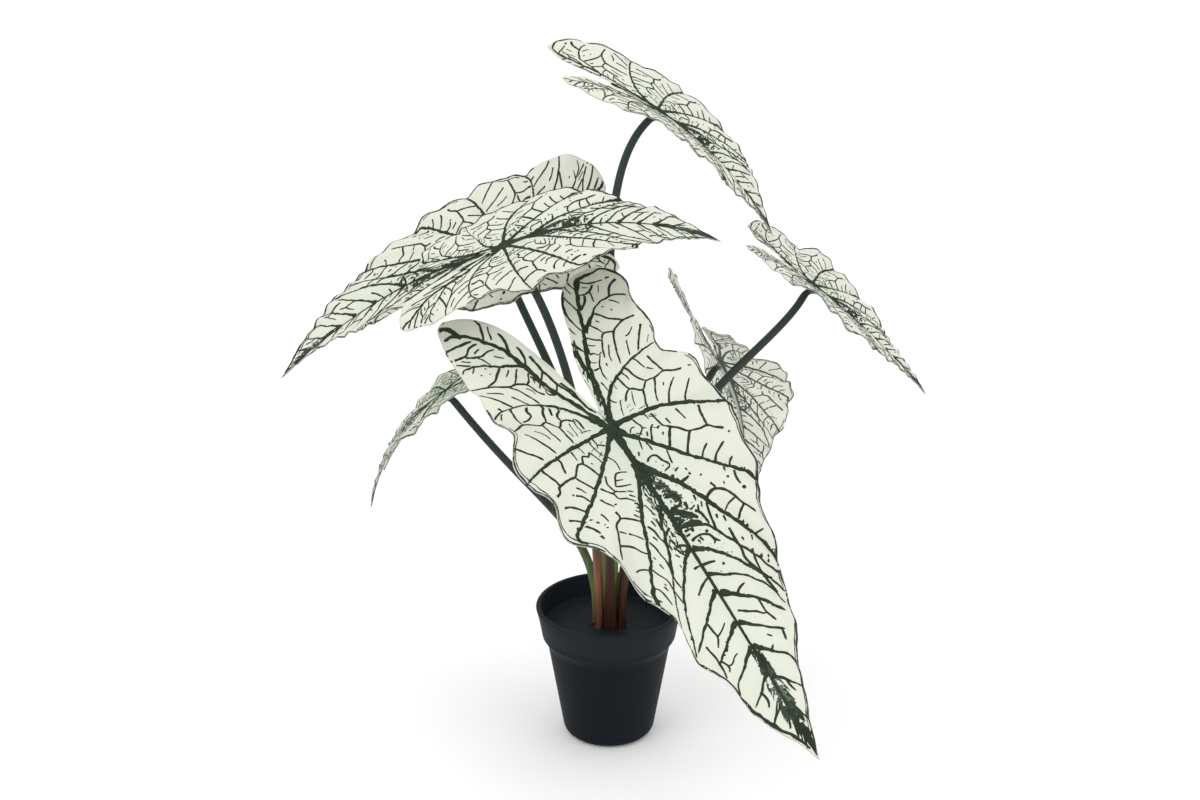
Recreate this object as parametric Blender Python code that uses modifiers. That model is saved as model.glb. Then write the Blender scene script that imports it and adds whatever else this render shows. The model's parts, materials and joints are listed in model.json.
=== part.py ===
"""Potted white alocasia with seven printed leaves on plastic stems, set in a filled nursery pot.

Frame: metres, +Z up, the front of the plant faces -Y. The origin is the centre of the pot's underside,
which is where the part rests. Every leaf is cut from one design and differs in size and pose.
"""
from dataclasses import dataclass
from math import cos, pi, radians, sin

import bmesh
import bpy
import numpy as np
from mathutils import Matrix, Vector

# Pot
POT_HEIGHT = 0.125
RIM_RADIUS = 0.065
RIM_LAND = 0.0042
COLLAR_HEIGHT = 0.029
COLLAR_BOTTOM_RADIUS = 0.0597
BODY_TOP_RADIUS = 0.0560
FOOT_RADIUS = 0.0413
FOOT_ROUND = 0.0090
POT_WALL = 0.0022
POT_FLOOR = 0.0035
POT_STEPS = 40

# Filling and the holes that hold the stems
FILL_TOP = 0.1045
FILL_EDGE_RISE = 0.0015
GAP = 0.0003
HOLE_CLEARANCE = 0.0005
HOLE_FLOOR = 0.068
HOLE_SIDES = 18

# Leaves and stems
BLADE_THICKNESS = 0.0008
STEM_SIDES_RESOLUTION = 2
TIP_RIB_RADIUS = 0.0007
JOINT_RADIUS = 0.0034
RIB_END = 0.72

# Half a leaf of unit length from the stem's joint to the tip. Each station of the margin gives the
# distance along the midrib, the distance out from it, where its vein leaves the midrib, and the bow
# of that vein. Negative distances are the two lobes behind the joint.
LOBE_INNER = [(-0.055, 0.000, 0, 0), (-0.130, 0.018, 0, 0), (-0.240, 0.035, 0, 0), (-0.350, 0.066, 0, 0),
              (-0.450, 0.115, 0, 0)]
LOBE_TIP = [(-0.515, 0.185, 0, 0)]
LOBE_OUTER = [(-0.500, 0.232, 0, 0), (-0.425, 0.268, 0, 0), (-0.325, 0.280, 0, 0), (-0.230, 0.268, 0, 0.010)]
SHOULDER = [(-0.155, 0.255, 0, 0.015), (-0.100, 0.282, 0, 0), (-0.020, 0.310, 0, 0), (0.060, 0.314, 0, 0)]
FLANK = [(0.120, 0.298, 0, 0.012), (0.180, 0.302, 0.01, 0.010), (0.260, 0.288, 0.02, 0.010),
         (0.340, 0.258, 0.03, 0.015), (0.410, 0.245, 0.06, 0.020), (0.480, 0.215, 0.09, 0.030)]
TAIL = [(0.545, 0.180, 0.122, 0.040), (0.585, 0.168, 0.370, 0.020), (0.630, 0.150, 0.455, 0.015),
        (0.675, 0.132, 0.510, 0.012), (0.725, 0.112, 0.600, 0.010), (0.780, 0.088, 0.667, 0.008),
        (0.835, 0.063, 0.764, 0.006), (0.910, 0.032, 0.870, 0.004), (1.000, 0.000, 1.000, 0.000)]
STATIONS = np.array(LOBE_INNER + LOBE_TIP + LOBE_OUTER + SHOULDER + FLANK + TAIL)
LAST = len(STATIONS) - 1
# The blade puffs up between one vein and the next: first station, last station, share of the wave.
PANELS = [(0, 5, 0.25), (5, 10, 0.9), (10, 14, 1.0), (14, 17, 0.8), (17, 20, 0.7), (20, 21, 0.3),
          (21, 22, 0.12), (22, 23, 0.12), (23, 24, 0.12), (24, 25, 0.12), (25, 26, 0.1), (26, 27, 0.08)]
LIFT_STATIONS = [0, 5, 9, 13, 17, 22, 28]
SPREAD_STATIONS = [0, 3, 5, 8, 10, 12, 14, 17, 20, 24, 28]


@dataclass
class Leaf:
    """One leaf: where its blade joins the stem, how it hangs, and how its stem runs.

    Angles are in degrees. Azimuth is the heading of the tip seen from above, counted from +X. Pairs give
    the right half and then the left half, seen from above with the tip ahead. Lift and back are in leaf
    lengths, and spread is the share by which that part of the margin is wider than the design. Lean is how
    far the stem runs sideways in X and Y for each metre of height where it meets the blade.
    """

    name: str
    joint: tuple
    azimuth: float
    pitch: float
    droop: float
    roll: float
    twist: float
    size: float
    sweep: float
    wave: float
    fold: tuple
    curl: tuple
    base: tuple
    base_radius: float = 0.0039
    width: float = 1.0
    lobe: float = 1.0
    back: tuple = (0.0, 0.0)
    lift_right: tuple = (0, 0, 0, 0, 0)
    lift_left: tuple = (0, 0, 0, 0, 0)
    spread_right: tuple = (0, 0, 0, 0, 0, 0, 0, 0, 0)
    spread_left: tuple = (0, 0, 0, 0, 0, 0, 0, 0, 0)
    lean: tuple = (0.0, 0.0)
    rise: float = 0.45
    arrive: float = 0.35
    fine: bool = False
    rows: int = 5


LEAVES = [
    Leaf("leaf_front", (0.0, -0.125, 0.345), -57, -28, -6, 22, -18, 0.319, 0, 0.022, (13, 9), (-10, -10),
         base=(0.0010, -0.0090), base_radius=0.0060, lobe=0.89, back=(0, -0.08),
         lift_right=(-0.03, 0.02, 0.06, 0.02, -0.03), lift_left=(-0.01, 0.01, 0.02, -0.01, -0.03),
         spread_right=(0.12, 0.12, -0.12, 0.03, -0.17, -0.12, -0.07, -0.15, 0.06),
         spread_left=(0.20, 0.02, -0.13, -0.15, -0.14, -0.05, -0.07, -0.07, 0.04),
         lean=(0.0, -0.45), fine=True, rows=6),
    Leaf("leaf_left_front", (-0.088, -0.013, 0.460), -6, 25, -47, 23, -18, 0.184, -8, 0.023, (6, 6), (-24, -20),
         base=(-0.0088, -0.0066), back=(0.04, 0), lift_right=(0, 0.01, -0.01, 0.03, 0),
         lift_left=(0, 0, -0.01, 0.02, 0), spread_right=(0.30, 0.06, 0, 0.06, -0.04, 0.09, 0.24, 0.18, 0.24),
         spread_left=(0, -0.20, -0.30, 0, -0.08, 0.14, 0.11, 0.02, 0.20),
         lean=(-0.80, -0.25), rise=0.52, arrive=0.15),
    Leaf("leaf_left_back", (-0.096, 0.097, 0.422), 172, -15, -29, -28, 19, 0.235, -18, 0.030, (18, 11),
         (-14, -22), base=(-0.0040, 0.0076), lobe=0.91, back=(0.05, 0), lift_right=(-0.01, 0.08, 0.01, 0, 0.02),
         lift_left=(0, 0, -0.01, 0.05, 0), spread_right=(0, -0.11, -0.03, 0.01, -0.07, -0.07, -0.06, -0.06, 0.05),
         lean=(-0.30, 0.20), rise=0.55, arrive=0.20, rows=6),
    Leaf("leaf_top", (0.041, 0.103, 0.547), 5, -32, -26, 16, -5, 0.151, 23, 0.024, (15, 18), (-20, -19),
         base=(0.0046, 0.0084), lobe=1.14, back=(-0.06, -0.13), lift_right=(0, -0.01, 0.04, 0, -0.04),
         lift_left=(-0.01, 0.02, 0.01, 0, 0.02), spread_left=(0, 0.18, 0.14, 0.10, -0.08, 0.07, 0.19, 0.11, 0.09),
         lean=(1.00, 0.20), rise=0.60, arrive=0.16),
    Leaf("leaf_right", (0.179, 0.087, 0.395), -1, -37, -10, 7, -3, 0.142, 19, 0.039, (11, 18), (-21, -21),
         base=(0.0110, -0.0066), back=(0, -0.08), lift_right=(0, -0.01, 0.04, -0.02, -0.02),
         lift_left=(0, 0, 0.03, 0, -0.02), lean=(0.66, 0.50), rise=0.58, arrive=0.20),
    Leaf("leaf_right_back", (0.101, 0.125, 0.309), 57, -46, -40, 8, -22, 0.190, -8, 0.031, (15, 26), (-17, -13),
         base=(0.0100, 0.0020), back=(-0.06, 0.07), lift_right=(0, -0.01, 0.02, 0.03, 0),
         lift_left=(0, 0.04, 0, 0, 0), spread_left=(0, 0, 0, -0.12, -0.18, -0.18, -0.12, 0, 0),
         lean=(0.62, 0.30)),
    Leaf("leaf_left_low", (-0.143, 0.046, 0.310), 193, -31, -50, 3, 16, 0.127, -7, 0.042, (4, 8), (-26, -21),
         base=(-0.0108, 0.0024), lift_right=(0, 0, 0.02, -0.01, 0.02), lift_left=(0, 0, 0.02, -0.02, 0),
         lean=(-0.78, 0.13), rise=0.40, arrive=0.60),
]


def clear_scene() -> None:
    """Removes every object, so that the startup scene leaves nothing behind."""
    for obj in list(bpy.data.objects):
        bpy.data.objects.remove(obj, do_unlink=True)


def new_collection(name: str, hidden: bool = False):
    """Returns a new collection linked to the scene."""
    collection = bpy.data.collections.new(name)
    bpy.context.scene.collection.children.link(collection)
    collection.hide_render = hidden
    return collection


def new_material(name: str, color: tuple, roughness: float):
    """Returns a Principled material of one colour."""
    material = bpy.data.materials.new(name)
    material.use_nodes = True
    shader = material.node_tree.nodes["Principled BSDF"]
    shader.inputs["Base Color"].default_value = (*color, 1.0)
    shader.inputs["Roughness"].default_value = roughness
    return material


def smooth_curve(points: np.ndarray, x: np.ndarray) -> np.ndarray:
    """Returns the Catmull-Rom curve through the points at the station numbers x."""
    last = len(points) - 1
    x = np.clip(x, 0, last)
    i = np.minimum(x.astype(int), last - 1)
    t = (x - i)[:, None]
    padded = np.vstack([2 * points[0] - points[1], points, 2 * points[-1] - points[-2]])
    a, b, c, d = padded[i], padded[i + 1], padded[i + 2], padded[i + 3]
    return 0.5 * (2 * b + (c - a) * t + (2 * a - 5 * b + 4 * c - d) * t**2 + (3 * b - a - 3 * c + d) * t**3)


def eased(x: np.ndarray, stations: list, values: tuple) -> np.ndarray:
    """Returns values given at the inner stations, eased between them and fading to the tip."""
    knots = np.array(stations, float)
    heights = np.array([0.5 * values[0], *values, 0.0])
    i = np.clip(np.searchsorted(knots, x, side="right") - 1, 0, len(knots) - 2)
    f = (x - knots[i]) / (knots[i + 1] - knots[i])
    f = f * f * (3 - 2 * f)
    return heights[i] * (1 - f) + heights[i + 1] * f


def flat_point(station: np.ndarray, share: np.ndarray) -> np.ndarray:
    """Returns points of the flat half leaf: the share of the way out along the vein of each station."""
    edge = smooth_curve(STATIONS[:, :2], station)
    edge[:, 1] = np.maximum(edge[:, 1], 0)
    index = np.arange(LAST + 1)
    root = np.stack([np.interp(station, index, STATIONS[:, 2]), np.zeros_like(station)], 1)
    bow = np.interp(station, index, STATIONS[:, 3])
    chord = edge - root
    across = np.stack([-chord[:, 1], chord[:, 0]], 1)
    across /= np.maximum(np.linalg.norm(across, axis=1), 1e-6)[:, None]
    middle = (root + edge) / 2 + across * (2 * bow)[:, None]
    t = share[:, None]
    return root * (1 - t) ** 2 + 2 * middle * t * (1 - t) + edge * t * t


def puff(station: np.ndarray, share: np.ndarray) -> np.ndarray:
    """Returns how far the blade rises between its veins, for a wave of one leaf length."""
    rise = np.zeros_like(station)
    for first, last, amount in PANELS:
        inside = (station >= first) & (station <= last)
        rise = np.where(inside, amount * np.sin(pi * (station - first) / (last - first)), rise)
    return rise * share**1.5


def mean_of(angle: np.ndarray, function) -> np.ndarray:
    """Returns the mean of the function along arcs whose angle grows from its first to its last column."""
    return function(angle).mean(axis=1)


def blade_points(leaf: Leaf, side: int, station: np.ndarray, share: np.ndarray) -> np.ndarray:
    """Returns world points on the middle surface of the blade. Side is 1 for the right half, -1 for the left."""
    half = 0 if side > 0 else 1
    lift = (leaf.lift_right, leaf.lift_left)[half]
    spread = (leaf.spread_right, leaf.spread_left)[half]
    root = np.interp(station, np.arange(LAST + 1), STATIONS[:, 2])
    grown = 1 + eased(station, SPREAD_STATIONS, spread)
    flat = flat_point(station, share)
    along = root + (flat[:, 0] - root) * grown
    along = np.where(along < 0, along * leaf.lobe, along)
    out = flat[:, 1] * grown * leaf.width
    # The midrib curves sideways within the blade.
    steps = (np.arange(16) + 0.5) / 16
    sweep = radians(leaf.sweep)
    ahead = np.clip(along, 0, None)
    turned = ahead[:, None] * steps * sweep
    forward = along > 0
    u = np.where(forward, mean_of(turned, np.cos) * ahead - side * out * np.sin(sweep * ahead), along)
    v = np.where(forward, mean_of(turned, np.sin) * ahead + side * out * np.cos(sweep * ahead), side * out)
    # The midrib droops from the joint to the tip.
    steps = (np.arange(20) + 0.5) / 20
    reach = u[:, None] * steps
    pitch, droop = radians(leaf.pitch), radians(leaf.droop)
    slope = pitch + droop * np.where(reach > 0, reach, 0.25 * reach)
    level, height = mean_of(slope, np.cos) * u, mean_of(slope, np.sin) * u
    head, lateral, up = heading(leaf)
    end = pitch + droop * np.where(u > 0, u, 0.25 * u)
    normal = np.outer(-np.sin(end), head) + np.outer(np.cos(end), up)
    roll = radians(leaf.roll) + radians(leaf.twist) * u
    across = lateral * np.cos(roll)[:, None] - normal * np.sin(roll)[:, None]
    normal = normal * np.cos(roll)[:, None] + lateral * np.sin(roll)[:, None]
    # Each half folds up from the midrib and curls over towards its margin.
    rise = radians(leaf.fold[half]) + radians(leaf.curl[half]) * out / 0.6
    sideways = (v - side * out) + side * out * np.cos(rise)
    upwards = out * np.sin(rise)
    upwards = upwards + leaf.back[half] * np.where(u < 0, u * u, 0) / 0.47
    upwards = upwards + leaf.wave * puff(station, share)
    upwards = upwards + eased(station, LIFT_STATIONS, lift) * share**2
    middle = np.outer(level, head) + np.outer(height, up)
    local = middle + across * sideways[:, None] + normal * upwards[:, None]
    return np.array(leaf.joint) + leaf.size * local


def heading(leaf: Leaf) -> tuple:
    """Returns the unit vectors ahead, to the right and up for the leaf's azimuth."""
    azimuth = radians(leaf.azimuth)
    head = np.array([cos(azimuth), sin(azimuth), 0.0])
    lateral = np.array([sin(azimuth), -cos(azimuth), 0.0])
    return head, lateral, np.array([0.0, 0.0, 1.0])


def blade_normal(leaf: Leaf, u: float) -> np.ndarray:
    """Returns the upward normal on the midrib, u leaf lengths from the joint."""
    head, lateral, up = heading(leaf)
    slope = radians(leaf.pitch) + radians(leaf.droop) * u
    normal = -sin(slope) * head + cos(slope) * up
    roll = radians(leaf.roll) + radians(leaf.twist) * u
    return normal * cos(roll) + lateral * sin(roll)


def build_blade(leaf: Leaf, collection, material):
    """Builds one blade as triangles fanned out from the joint and given its thickness by a Solidify."""
    mesh = bmesh.new()
    found = {}

    def vertex(point: np.ndarray):
        key = tuple(np.round(point * 1e5).astype(int))
        if key not in found:
            found[key] = mesh.verts.new(point)
        return found[key]

    def face(*corners) -> None:
        distinct = list(dict.fromkeys(corners))
        if len(distinct) == 3:
            mesh.faces.new(distinct)

    shares = np.linspace(0, 1, leaf.rows + 1) ** 0.85
    extra = [20.33, 20.67] + ([k + 0.5 for k in range(5, 20)] if leaf.fine else [])
    columns = np.sort(np.concatenate([np.arange(LAST + 1), extra]))
    for side in (1, -1):
        grid = []
        for share in shares:
            grid.append([vertex(p) for p in blade_points(leaf, side, columns, np.full(len(columns), share))])
        for j in range(leaf.rows):
            for i in range(len(columns) - 1):
                a, b, c, d = grid[j][i], grid[j][i + 1], grid[j + 1][i + 1], grid[j + 1][i]
                if side < 0:
                    a, b, c, d = b, a, d, c
                face(a, b, c)
                face(a, c, d)
    bmesh.ops.recalc_face_normals(mesh, faces=mesh.faces)
    data = bpy.data.meshes.new(leaf.name + "_blade")
    mesh.to_mesh(data)
    mesh.free()
    blade = bpy.data.objects.new(leaf.name + "_blade", data)
    collection.objects.link(blade)
    data.materials.append(material)
    solidify = blade.modifiers.new("Thickness", "SOLIDIFY")
    solidify.thickness = BLADE_THICKNESS
    solidify.offset = 0
    solidify.use_even_offset = False
    return blade


def stem_path(leaf: Leaf) -> tuple:
    """Returns the points and radii of a stem: up from its hole, over to the joint and along the midrib."""
    joint = Vector(leaf.joint)
    normal = Vector(blade_normal(leaf, 0))
    clear = BLADE_THICKNESS / 2 + GAP + 0.0004
    start = Vector((leaf.base[0], leaf.base[1], FILL_TOP + 0.004))
    corner = joint - normal * (clear + JOINT_RADIUS + 0.0010)
    arrival = Vector((*leaf.lean, 1.0)).normalized()
    end = corner - arrival * 0.0075
    chord = end - start
    first = start + Vector((0, 0, chord.length * leaf.rise))
    second = end - arrival * chord.length * leaf.arrive
    points = [Vector((start.x, start.y, HOLE_FLOOR + GAP)), Vector((start.x, start.y, HOLE_FLOOR + 0.018))]
    radii = [leaf.base_radius * 0.98, leaf.base_radius]
    for i in range(13):
        t = i / 12
        points.append(start * (1 - t) ** 3 + first * 3 * t * (1 - t) ** 2 + second * 3 * t * t * (1 - t) + end * t**3)
        neck = max(0.0, 1 - 4.5 * t) ** 2
        radii.append(leaf.base_radius * neck + (JOINT_RADIUS + 0.0006 * (1 - t)) * (1 - neck))
    ribs = []
    for u in (0.009 / leaf.size, 0.12, 0.20, 0.29, 0.38, 0.48, 0.60, RIB_END):
        fade = (u / RIB_END) ** 0.6
        radius = 0.0022 * (1 - fade) + TIP_RIB_RADIUS * fade
        station = np.interp(u, STATIONS[14:, 2], np.arange(14, LAST + 1))
        on_rib = Vector(blade_points(leaf, 1, np.array([station]), np.array([0.0]))[0])
        ribs.append((on_rib - Vector(blade_normal(leaf, u)) * (clear + radius), radius))
    for t in (0.3, 0.55, 0.8):
        points.append(end * (1 - t) ** 2 + corner * 2 * t * (1 - t) + ribs[0][0] * t * t)
        radii.append(JOINT_RADIUS * (1 - t) + ribs[0][1] * t)
    for point, radius in ribs:
        points.append(point)
        radii.append(radius)
    return points, radii


def build_stem(leaf: Leaf, collection, material):
    """Builds the stem as a bevelled curve with closed ends."""
    points, radii = stem_path(leaf)
    curve = bpy.data.curves.new(leaf.name + "_stem", "CURVE")
    curve.dimensions = "3D"
    curve.bevel_depth = 1.0
    curve.bevel_resolution = STEM_SIDES_RESOLUTION
    curve.use_fill_caps = True
    curve.twist_mode = "MINIMUM"
    spline = curve.splines.new("POLY")
    spline.points.add(len(points) - 1)
    for place, point, radius in zip(spline.points, points, radii):
        place.co = (*point, 1)
        place.radius = radius
    stem = bpy.data.objects.new(leaf.name + "_stem", curve)
    collection.objects.link(stem)
    curve.materials.append(material)
    return stem


def turned_object(name: str, profile: list, collection, material):
    """Returns a solid turned about the Z axis with a Screw from a closed profile of radius and height."""
    mesh = bmesh.new()
    corners = [mesh.verts.new((radius, 0, height)) for radius, height in profile]
    for a, b in zip(corners, corners[1:]):
        mesh.edges.new((a, b))
    data = bpy.data.meshes.new(name)
    mesh.to_mesh(data)
    mesh.free()
    obj = bpy.data.objects.new(name, data)
    collection.objects.link(obj)
    data.materials.append(material)
    screw = obj.modifiers.new("Turn", "SCREW")
    screw.steps = POT_STEPS
    screw.render_steps = POT_STEPS
    screw.use_merge_vertices = True
    screw.merge_threshold = 0.00001
    screw.use_normal_calculate = True
    screw.use_smooth_shade = True
    return obj


def arc(centre: tuple, radius: float, start: float, end: float, count: int) -> list:
    """Returns points of an arc in the profile plane between two angles in degrees."""
    angles = [radians(start + (end - start) * i / (count - 1)) for i in range(count)]
    return [(centre[0] + radius * cos(a), centre[1] + radius * sin(a)) for a in angles]


def inner_radius(height: float) -> float:
    """Returns the radius of the pot's inside at this height."""
    step = POT_HEIGHT - COLLAR_HEIGHT
    if height > step:
        share = (height - step) / COLLAR_HEIGHT
        return (COLLAR_BOTTOM_RADIUS - RIM_LAND + 0.0004) * (1 - share) + (RIM_RADIUS - RIM_LAND) * share
    share = height / step
    return (FOOT_RADIUS - POT_WALL - 0.0006) * (1 - share) + (BODY_TOP_RADIUS - POT_WALL) * share


def build_pot(collection, material):
    """Builds the tapered pot with its rounded foot, its collar over a sloped shoulder and its rolled rim."""
    step = POT_HEIGHT - COLLAR_HEIGHT
    rounding = 0.0019
    profile = [(0, 0)]
    profile += arc((FOOT_RADIUS - FOOT_ROUND, FOOT_ROUND), FOOT_ROUND, -90, -6, 5)
    profile += [(BODY_TOP_RADIUS - 0.0012, step - 0.0075), (COLLAR_BOTTOM_RADIUS - 0.0012, step - 0.0008)]
    profile += [(COLLAR_BOTTOM_RADIUS, step + 0.0008)]
    profile += arc((RIM_RADIUS - rounding, POT_HEIGHT - rounding), rounding, 0, 90, 4)
    profile += arc((RIM_RADIUS - RIM_LAND + 0.0010, POT_HEIGHT - 0.0010), 0.0010, 90, 180, 3)
    profile += [(inner_radius(step + 0.0005), step + 0.0005), (inner_radius(step - 0.0015), step - 0.0015)]
    profile += [(inner_radius(POT_FLOOR + 0.003), POT_FLOOR + 0.003), (FOOT_RADIUS - POT_WALL - 0.0025, POT_FLOOR)]
    profile += [(0, POT_FLOOR)]
    return turned_object("pot", profile, collection, material)


def build_fill(collection, cutters, material):
    """Builds the filling as one plug inside the pot, with a plain hole for each stem."""
    step = POT_HEIGHT - COLLAR_HEIGHT
    low = POT_FLOOR + 0.0035
    profile = [(0, POT_FLOOR + GAP), (FOOT_RADIUS - POT_WALL - 0.0032, POT_FLOOR + GAP)]
    shelf = inner_radius(step - 0.0015) - GAP
    profile += [(inner_radius(low) - GAP, low), (shelf, step - 0.0015), (shelf, step + 0.0005)]
    edge = inner_radius(FILL_TOP) - GAP
    profile += [(inner_radius(step + 0.002) - GAP, step + 0.002), (edge, FILL_TOP + FILL_EDGE_RISE)]
    profile += [(edge - 0.003, FILL_TOP), (0, FILL_TOP)]
    fill = turned_object("fill", profile, collection, material)
    for leaf in LEAVES:
        depth = 0.060
        matrix = Matrix.Translation((leaf.base[0], leaf.base[1], HOLE_FLOOR + depth / 2))
        mesh = bmesh.new()
        radius = leaf.base_radius + HOLE_CLEARANCE
        bmesh.ops.create_cone(mesh, cap_ends=True, segments=HOLE_SIDES, radius1=radius, radius2=radius,
                              depth=depth, matrix=matrix)
        data = bpy.data.meshes.new(leaf.name + "_hole")
        mesh.to_mesh(data)
        mesh.free()
        cutter = bpy.data.objects.new(leaf.name + "_hole", data)
        cutter.hide_render = True
        cutter.display_type = "WIRE"
        cutters.objects.link(cutter)
        cut = fill.modifiers.new(leaf.name + "_hole", "BOOLEAN")
        cut.operation = "DIFFERENCE"
        cut.solver = "EXACT"
        cut.object = cutter
    return fill


def main() -> None:
    """Builds the whole plant."""
    clear_scene()
    plant = new_collection("potted_alocasia")
    cutters = new_collection("cutters", hidden=True)
    white = new_material("printed_leaf", (0.78, 0.81, 0.70), 0.6)
    green = new_material("stem_green", (0.035, 0.060, 0.052), 0.45)
    black = new_material("pot_black", (0.012, 0.015, 0.019), 0.5)
    dark = new_material("fill_black", (0.010, 0.012, 0.013), 0.8)
    build_pot(plant, black)
    build_fill(plant, cutters, dark)
    for leaf in LEAVES:
        build_blade(leaf, plant, white)
        build_stem(leaf, plant, green)


main()
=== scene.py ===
"""The potted white alocasia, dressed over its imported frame.

Seven blades of one printed design hang on moulded stems that stand in a filled nursery pot. Each blade is
cut flat from one pattern, with its print laid on it, and is then bent to its pose in the plant. All lengths
are in metres, +Z is up and the front of the plant faces -Y.
"""
import json
import logging
from collections.abc import Callable
from dataclasses import dataclass, field
from enum import Enum
from math import cos, pi, radians, sin

import bmesh
import bpy
import numpy as np
from bmesh.types import BMEdge, BMesh, BMLayerItem, BMVert
from bpy.types import ID, Material, Mesh, Modifier, Node, NodeSocket, NodeTree, Object
from mathutils import Matrix, Vector, kdtree
from mathutils.bvhtree import BVHTree

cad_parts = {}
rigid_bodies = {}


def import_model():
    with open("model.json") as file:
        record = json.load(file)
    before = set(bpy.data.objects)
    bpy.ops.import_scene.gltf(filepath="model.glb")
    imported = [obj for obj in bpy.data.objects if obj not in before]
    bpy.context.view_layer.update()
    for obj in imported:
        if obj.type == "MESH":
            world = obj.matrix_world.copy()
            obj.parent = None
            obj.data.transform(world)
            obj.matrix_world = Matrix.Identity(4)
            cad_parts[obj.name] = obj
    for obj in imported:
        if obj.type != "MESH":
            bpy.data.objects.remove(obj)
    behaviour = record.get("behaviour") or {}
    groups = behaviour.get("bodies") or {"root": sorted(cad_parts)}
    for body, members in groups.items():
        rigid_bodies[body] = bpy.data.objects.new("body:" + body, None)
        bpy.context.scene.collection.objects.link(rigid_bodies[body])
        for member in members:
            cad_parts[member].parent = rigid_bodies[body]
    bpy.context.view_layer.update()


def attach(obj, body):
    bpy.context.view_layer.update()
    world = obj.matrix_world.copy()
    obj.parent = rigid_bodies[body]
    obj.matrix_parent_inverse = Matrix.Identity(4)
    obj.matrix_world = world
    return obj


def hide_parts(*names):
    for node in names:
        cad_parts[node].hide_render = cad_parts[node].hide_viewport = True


LOG = logging.getLogger("alocasia")
# One place or many rows of them, and what an input of a node takes.
Place = np.ndarray | Vector
Value = NodeSocket | float | tuple

BLADE_THICKNESS = 0.0008
FILL_TOP = 0.1045
# What is left free between two pieces that sit in each other.
GAP = 0.0003
HOLE_FLOOR = 0.068

# The stem: how far it runs straight up out of the filling, and how far before the blade its elbow starts.
STRAIGHT_FOOT = 0.004
ELBOW = 0.0075
STEM_STEPS = 24
JOINT_RADIUS = 0.0034
# The rib under the blade: its places along the midrib, in blade lengths, and its radius at either end.
RIB_END = 0.72
RIB_PLACES = (0.12, 0.20, 0.29, 0.38, 0.48, 0.60, RIB_END)
ROOT_RIB_RADIUS = 0.0022
TIP_RIB_RADIUS = 0.0007
RIB_CLEARANCE = 0.0004

# How the blade bends, in blade lengths: the lobes' share of the droop, the width over which a half curls by
# its full angle, and the depth of the lobes behind the joint.
LOBE_DROOP = 0.25
CURL_REACH = 0.6
LOBE_DEPTH = 0.47
# The blade is embossed: its panels rise between the veins, most of the way within this reach of a vein.
EMBOSS_HEIGHT = 0.0034
EMBOSS_REACH = 0.017
# The flat sheet has this many columns of faces on each panel and twice as many on the one after station
# LONG_PANEL, the longest along the midrib. A power below 1 brings the rows closer together at the margin.
PANEL_COLUMNS = 8
LONG_PANEL = 20
ROW_POWER = 0.9
# The search for a place on the flat blade: the grid of its first guesses, how often it closes in on the point,
# the step and the edge at which it measures slopes, what keeps its equations solvable, and its longest steps.
GUESSES_PER_STATION = 12
GUESSES_ACROSS = 49
SEARCH_ROUNDS = 6
SLOPE_STEP = 1e-4
SLOPE_EDGE = 0.01
DAMPING = 1e-7
LONGEST_ALONG = 0.5
LONGEST_OUT = 0.1

# Blades longer than this carry the large print. Each print has a seed and a boldness, the large one first.
LARGE_BLADE = 0.3
PRINTS = ((11, 1.0), (23, 1.12))

# Half a blade from the stem's joint to the tip, in thousandths of its length. Each station of the margin gives
# the distance along the midrib, the distance out from it, where its vein leaves the midrib, and the bow of
# that vein.
STATIONS = np.array([
    (-55, 0, 0, 0), (-130, 18, 0, 0), (-240, 35, 0, 0), (-350, 66, 0, 0), (-450, 115, 0, 0), (-515, 185, 0, 0),
    (-500, 232, 0, 0), (-425, 268, 0, 0), (-325, 280, 0, 0), (-230, 268, 0, 10), (-155, 255, 0, 15),
    (-100, 282, 0, 0), (-20, 310, 0, 0), (60, 314, 0, 0), (120, 298, 0, 12), (180, 302, 10, 10),
    (260, 288, 20, 10), (340, 258, 30, 15), (410, 245, 60, 20), (480, 215, 90, 30), (545, 180, 122, 40),
    (585, 168, 370, 20), (630, 150, 455, 15), (675, 132, 510, 12), (725, 112, 600, 10), (780, 88, 667, 8),
    (835, 63, 764, 6), (910, 32, 870, 4), (1000, 0, 1000, 0),
]) / 1000.0
LAST = len(STATIONS) - 1
# The last station whose vein leaves the midrib at the joint.
JOINT_STATION = 14
# The blade puffs up between one vein and the next: first station, last station, share of the wave.
PANELS = [(0, 5, 0.25), (5, 10, 0.9), (10, 14, 1.0), (14, 17, 0.8), (17, 20, 0.7), (20, 21, 0.3),
          (21, 22, 0.12), (22, 23, 0.12), (23, 24, 0.12), (24, 25, 0.12), (25, 26, 0.1), (26, 27, 0.08)]
LIFT_STATIONS = [0, 5, 9, 13, 17, 22, 28]
SPREAD_STATIONS = [0, 3, 5, 8, 10, 12, 14, 17, 20, 24, 28]

# How far the cut margin runs outside the smooth one at every half station, in thousandths of the blade's
# length, on the right half and on the left.
SCALLOPS = np.array([
    (0, 1, 1, 0, 0, 2, 6, 13, 20, 24, 20, 7, -2, -1, 3, 8, 14, 3, -5, -7, -7, -12, -22, -20, -7, 10, 26, 30, 24,
     14, -9, -15, 11, 24, -3, -24, -26, -15, 5, 26, 28, 8, -22, -20, -10, 0, 4, 4, -5, -3, 6, 24, 32, 34, 27,
     9, 0),
    (0, 4, 10, 12, 9, 4, 10, 15, 18, 12, -8, -18, -14, 0, 6, -13, -17, -5, 1, -4, -1, -2, -5, 6, -1, -19, -26,
     -19, 0, -10, -17, -21, -14, 4, -1, -12, -26, -20, -2, 8, 10, 9, 5, 1, 0, -2, 0, -5, -9, -13, -13, -9, -5,
     -3, -3, -1, 0),
]) / 1000.0


class StemTone(Enum):
    """The colour family of a stem's lower part."""

    GREEN = "green"
    OLIVE = "olive"
    RUSSET = "russet"
    BROWN = "brown"


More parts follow.
